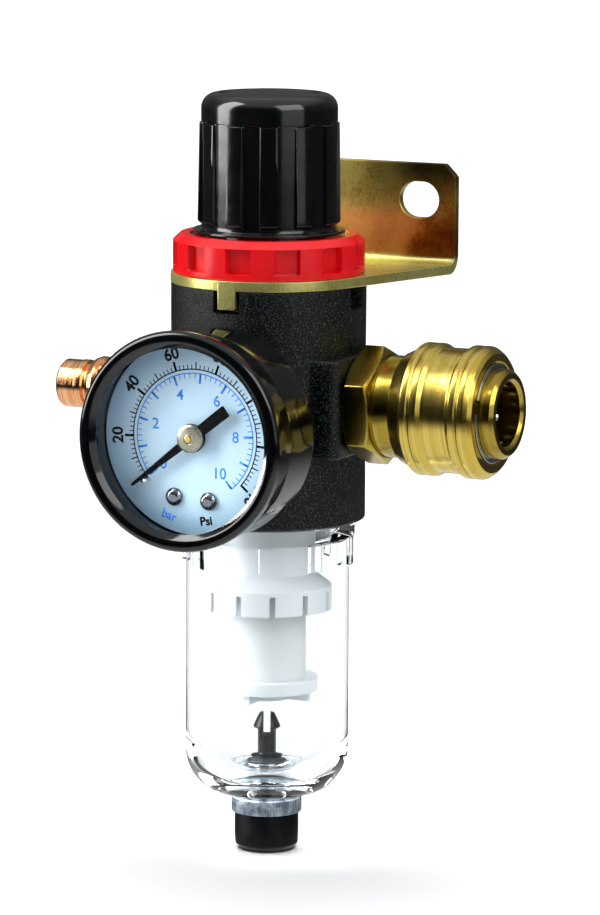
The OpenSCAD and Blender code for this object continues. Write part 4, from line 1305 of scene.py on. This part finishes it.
finished("drain_button_black", turned(rounded(
    (0, 0.35), (1.9, 0.35, 0.1), (2.2, 0.0, 0.15), (5.9, 0.0, 0.5), (6.5, 0.7, 0.6),
    (6.6, 3.0, 1.0), (6.6, button_top, 0.25), (4.6, button_top, 0.2), (4.6, 4.0, 0.3),
    (0, 4.0), steps=6), count=128), UPRIGHT, f_black, "drain", "drain_button", slot="black_plastic")


stem_profile = rounded((0, 4.1), (1.88, 4.1), (1.88, 17.6, 0.1), (3.35, 17.75, 0.2),
    (3.35, 18.35, 0.25), (2.1, 18.7, 0.3), (1.9, 19.4, 0.3), (1.9, 24.6, 0.15),
    (2.8, 25.05, 0.15), (2.75, 25.4, 0.2), (2.05, 27.0, 0.5), (1.5, 28.1, 0.5), (0, 28.2), steps=4)
holder = linked("stem", turned(stem_profile, count=64))
slot_mesh = soft_box((-0.72, -5, 23.4), (0.72, 5, 30), 0.3)
slot_mesh.transform(Matrix.Rotation(math.radians(25), 4, "Z"))
slot_cut = linked("slot", slot_mesh)
cut = holder.modifiers.new("slot", "BOOLEAN")
cut.operation, cut.object, cut.solver = "DIFFERENCE", slot_cut, "EXACT"
stem = as_mesh(holder)
bpy.data.objects.remove(slot_cut)
finished("drain_fork", stem, UPRIGHT, f_black, "drain", "drain_stem", sharp=32,
    slot="black_plastic")
seal_low, seal_high = height("drain_seal", top=False), height("drain_seal")
finished("drain_cone_seal", turned(rounded(
    (1.95, seal_low), (4.35, seal_low, 0.15), (4.2, seal_low + 0.7, 0.3),
    (3.25, seal_low + 1.3, 0.3), (3.05, seal_high, 0.2), (1.95, seal_high), closed=True,
    steps=4), closed=True, count=96), UPRIGHT, f_rubber, "drain", "drain_seal", slot="rubber")
print("button", round(button_top, 2), "mm tall above its foot")

# %% [markdown]
# ## Hidden pieces
# The bonnet, valves, seals and the gauge's movement keep their CAD meshes. They are seen only
# when the part is opened, but each still gets its own metal, rubber or plastic.

# %% Finishes of the CAD nodes that stay
f_movement = brass("brass_movement", paint(222, 190, 110), paint(200, 164, 84),
    paint(150, 110, 56), 0.3, 0.22, 0.4)
stays = {f_knob: ["bonnet"], f_steel: ["adjusting_screw", "tube_link"],
    f_brass_inner: ["spring_nut", "valve_seat", "valve_poppet", "coupler_valve"],
    f_movement: ["pinion_shaft", "sector_gear", "movement_plates", "bourdon_tube", "gauge_socket"],
    f_spring: ["hair_spring"],
    f_rubber: ["piston_o_ring", "bowl_o_ring", "coupler_seal"], f_body: ["rear_plug"]}
for material, nodes in stays.items():
    for node in nodes:
        frame["nodes"][node].material_slots[0].material = material
print("CAD nodes with a new finish:", sum(map(len, stays.values())) + 5)

# %% [markdown]
# ## Springs
# Four coil springs push back the nut, the valve, the sleeve and the coupler's valve. In the part
# one end sits on a fixed seat and the other follows the piece that it pushes, so each spring
# shortens by the whole travel of that piece. Here each coil keeps its CAD shape on the housing with
# a spring steel finish, and only its length and that travel are worked out; it does not shorten.

# %% Springs
travel = {j["name"]: abs(j["range_m"][0]) for j in frame["record"]["behaviour"]["joints"]
    if "range_m" in j}
for node, joint, along in (("main_spring", "nut_travel", 2), ("valve_spring", "valve_lift", 2),
        ("sleeve_spring", "sleeve_slide", 0), ("coupler_valve_spring", "plug_valve", 0)):
    seat, free_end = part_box(node)
    coil = linked(node + "_coil", frame["nodes"][node].data.copy())
    coil.data.materials.clear()
    coil.data.materials.append(f_spring)
    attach(coil, "housing")
    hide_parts(node)
    length = free_end[along] - seat[along]
    way = Vector((0, 0, 0))
    way[along] = 1
    (length - travel[joint]) / length
    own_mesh(coil)
    print(node, "is", round(length / MM, 1), "mm long and shortens by", travel[joint] / MM)

# %% [markdown]
# ## Floor, light and camera
# A pale floor lies just under the drain. The sky is bright above and below and dim at the sides,
# with a darker patch behind the camera, so that black parts stay black. One soft box stands on
# the left and two on the right. They light the object alone, and a broad overhead light does the
# floor. The bowl and the window cast no shadow, so that light reaches what is behind them.

# %% Floor
f = Finish("floor_pale")
spot = f.place()
f_floor = f.surface(base_color=f.blend(f.noise(spot, 3, 3), paint(248, 248, 249),
    paint(250, 250, 251)), roughness=f.range(f.noise(spot, 9, 3), 0.3, 0.7, 0.85, 0.95),
    normal=f.bump(f.noise(spot, 400, 2), 0.02))
reach, gap = 8, 0.0005                       # half the floor's width, and its drop below the drain
floor_mesh = drawn([(x * reach, y * reach, foot - gap)
    for x, y in ((-1, -1), (1, -1), (1, 1), (-1, 1))], [(0, 1, 2, 3)])
floor_mesh.materials.append(f_floor)
floor = linked("floor", floor_mesh)
floor.visible_glossy = False
floor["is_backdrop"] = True
print("floor at", round(foot / MM, 2), "mm")

# %% Sky
scene = bpy.context.scene
world = bpy.data.worlds.new("studio")
world.use_nodes = True
scene.world = world


class Sky(Nodes):
    def __init__(self, tree):
        self.tree = tree
        tree.nodes.clear()


sky = Sky(world.node_tree)
way = sky.node("ShaderNodeTexCoord", output="Generated")
x = sky.node("ShaderNodeSeparateXYZ", None, {"Vector": way})
y, z = x.also(1), x.also(2)
to_flag = (math.sin(math.radians(8)), -math.cos(math.radians(8)), 0.05)
near = x * to_flag[0] + y * to_flag[1] + z * to_flag[2]
flag = sky.range(near, 0.62, 0.84, 1.0, 0.12)
sides = sky.range(z, -0.1, 0.25, 0.04, 0.12)
high = sky.range(z, 0.4, 0.9, 0.0, 0.6)
low = sky.range(z, -0.5, -0.2, 0.85, 0.0)
glow = sky.node("ShaderNodeBackground", None, {"Color": (0.97, 0.985, 1, 1),
    "Strength": sides * flag + high + low})
end = sky.tree.nodes.new("ShaderNodeOutputWorld")
sky.tree.links.new(glow.socket, end.inputs["Surface"])
scene.view_settings.view_transform = "Standard"
print("sky ready")


# %% Soft lights
def soft_light(name, azimuth, elevation, distance, wide, tall, power):
    """A soft box at an angle round the object, turned to face it."""
    light = bpy.data.lights.new(name, "AREA")
    light.shape, light.size, light.size_y = "RECTANGLE", wide, tall
    light.energy = power
    a, e = math.radians(azimuth), math.radians(elevation)
    way = Vector((math.sin(a) * math.cos(e), -math.cos(a) * math.cos(e), math.sin(e)))
    holder = linked(name, light)
    holder.location = Vector((axis.x, axis.y, foot + 0.08)) + way * distance
    holder.rotation_euler = way.to_track_quat("Z", "Y").to_euler()


soft_light("left box", -58, 24, 1.25, 0.62, 1.8, 27)
soft_light("right high box", 66, 38, 1.35, 0.95, 0.85, 8)
soft_light("right low box", 66, 4, 1.35, 0.95, 0.75, 1.8)
lamp = bpy.data.lights.new("overhead", "SUN")
lamp.energy, lamp.angle = 3.25, math.radians(64)
overhead = linked("overhead", lamp)
overhead.rotation_euler = (math.radians(-8), math.radians(-8), 0)
overhead.visible_glossy = False
even = bpy.data.collections.new("lit by the overhead light alone")
even.objects.link(floor)
clear = bpy.data.collections.new("lets light through")
for name in ("bowl_clear_shell", "gauge_window_disc"):
    clear.objects.link(bpy.data.objects[name])
for o in scene.objects:
    if o.type == "LIGHT":
        o.light_linking.blocker_collection = clear
        o.visible_camera = False
        if o.name.endswith("box"):
            o.light_linking.receiver_collection = even
for member in list(even.collection_objects) + list(clear.collection_objects):
    member.light_linking.link_state = "EXCLUDE"

# %% [markdown]
# ## The camera
# A long lens about a metre away, a little to the right of the gauge and a little above it.

# %% Camera
AZIMUTH, ELEVATION, ROLL = (math.radians(v) for v in (25.332, 9.149, 0.313))
DISTANCE, FOCAL, SENSOR = 1.06333, 5.649027, 36     # metres, sensor widths, millimetres
SHIFT = (-0.002426, 0.029639)
right = Vector((math.cos(AZIMUTH), math.sin(AZIMUTH), 0))
back = Vector((math.sin(AZIMUTH) * math.cos(ELEVATION),
    -math.cos(AZIMUTH) * math.cos(ELEVATION), math.sin(ELEVATION)))
up_way = back.cross(right)
across = right * math.cos(ROLL) + up_way * math.sin(ROLL)
upward = up_way * math.cos(ROLL) - right * math.sin(ROLL)
lens = bpy.data.cameras.new("camera")
lens.sensor_width, lens.sensor_fit = SENSOR, "AUTO"
lens.lens = FOCAL * SENSOR
lens.clip_start, lens.clip_end = 0.05, 50
lens.shift_x, lens.shift_y = SHIFT
camera = linked("camera", lens)
aim = Vector((axis.x, axis.y, foot)) + right * 0.007038 + Vector((0, 0, 0.075828))
camera.matrix_world = Matrix.Translation(aim + back * DISTANCE) @ \
    Matrix((across, upward, back)).transposed().to_4x4()
scene.camera = camera
print("camera at", [round(v, 3) for v in camera.matrix_world.translation])

# %% [markdown]
# ## The sizes
# The dressed model should be as big as the CAD model, so both boxes are printed.

# %% Sizes and finish
visual_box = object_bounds()
for label, box in (("CAD", cad_box), ("visual", visual_box)):
    print(label, [round(v / MM, 2) for v in (box[1] - box[0])])
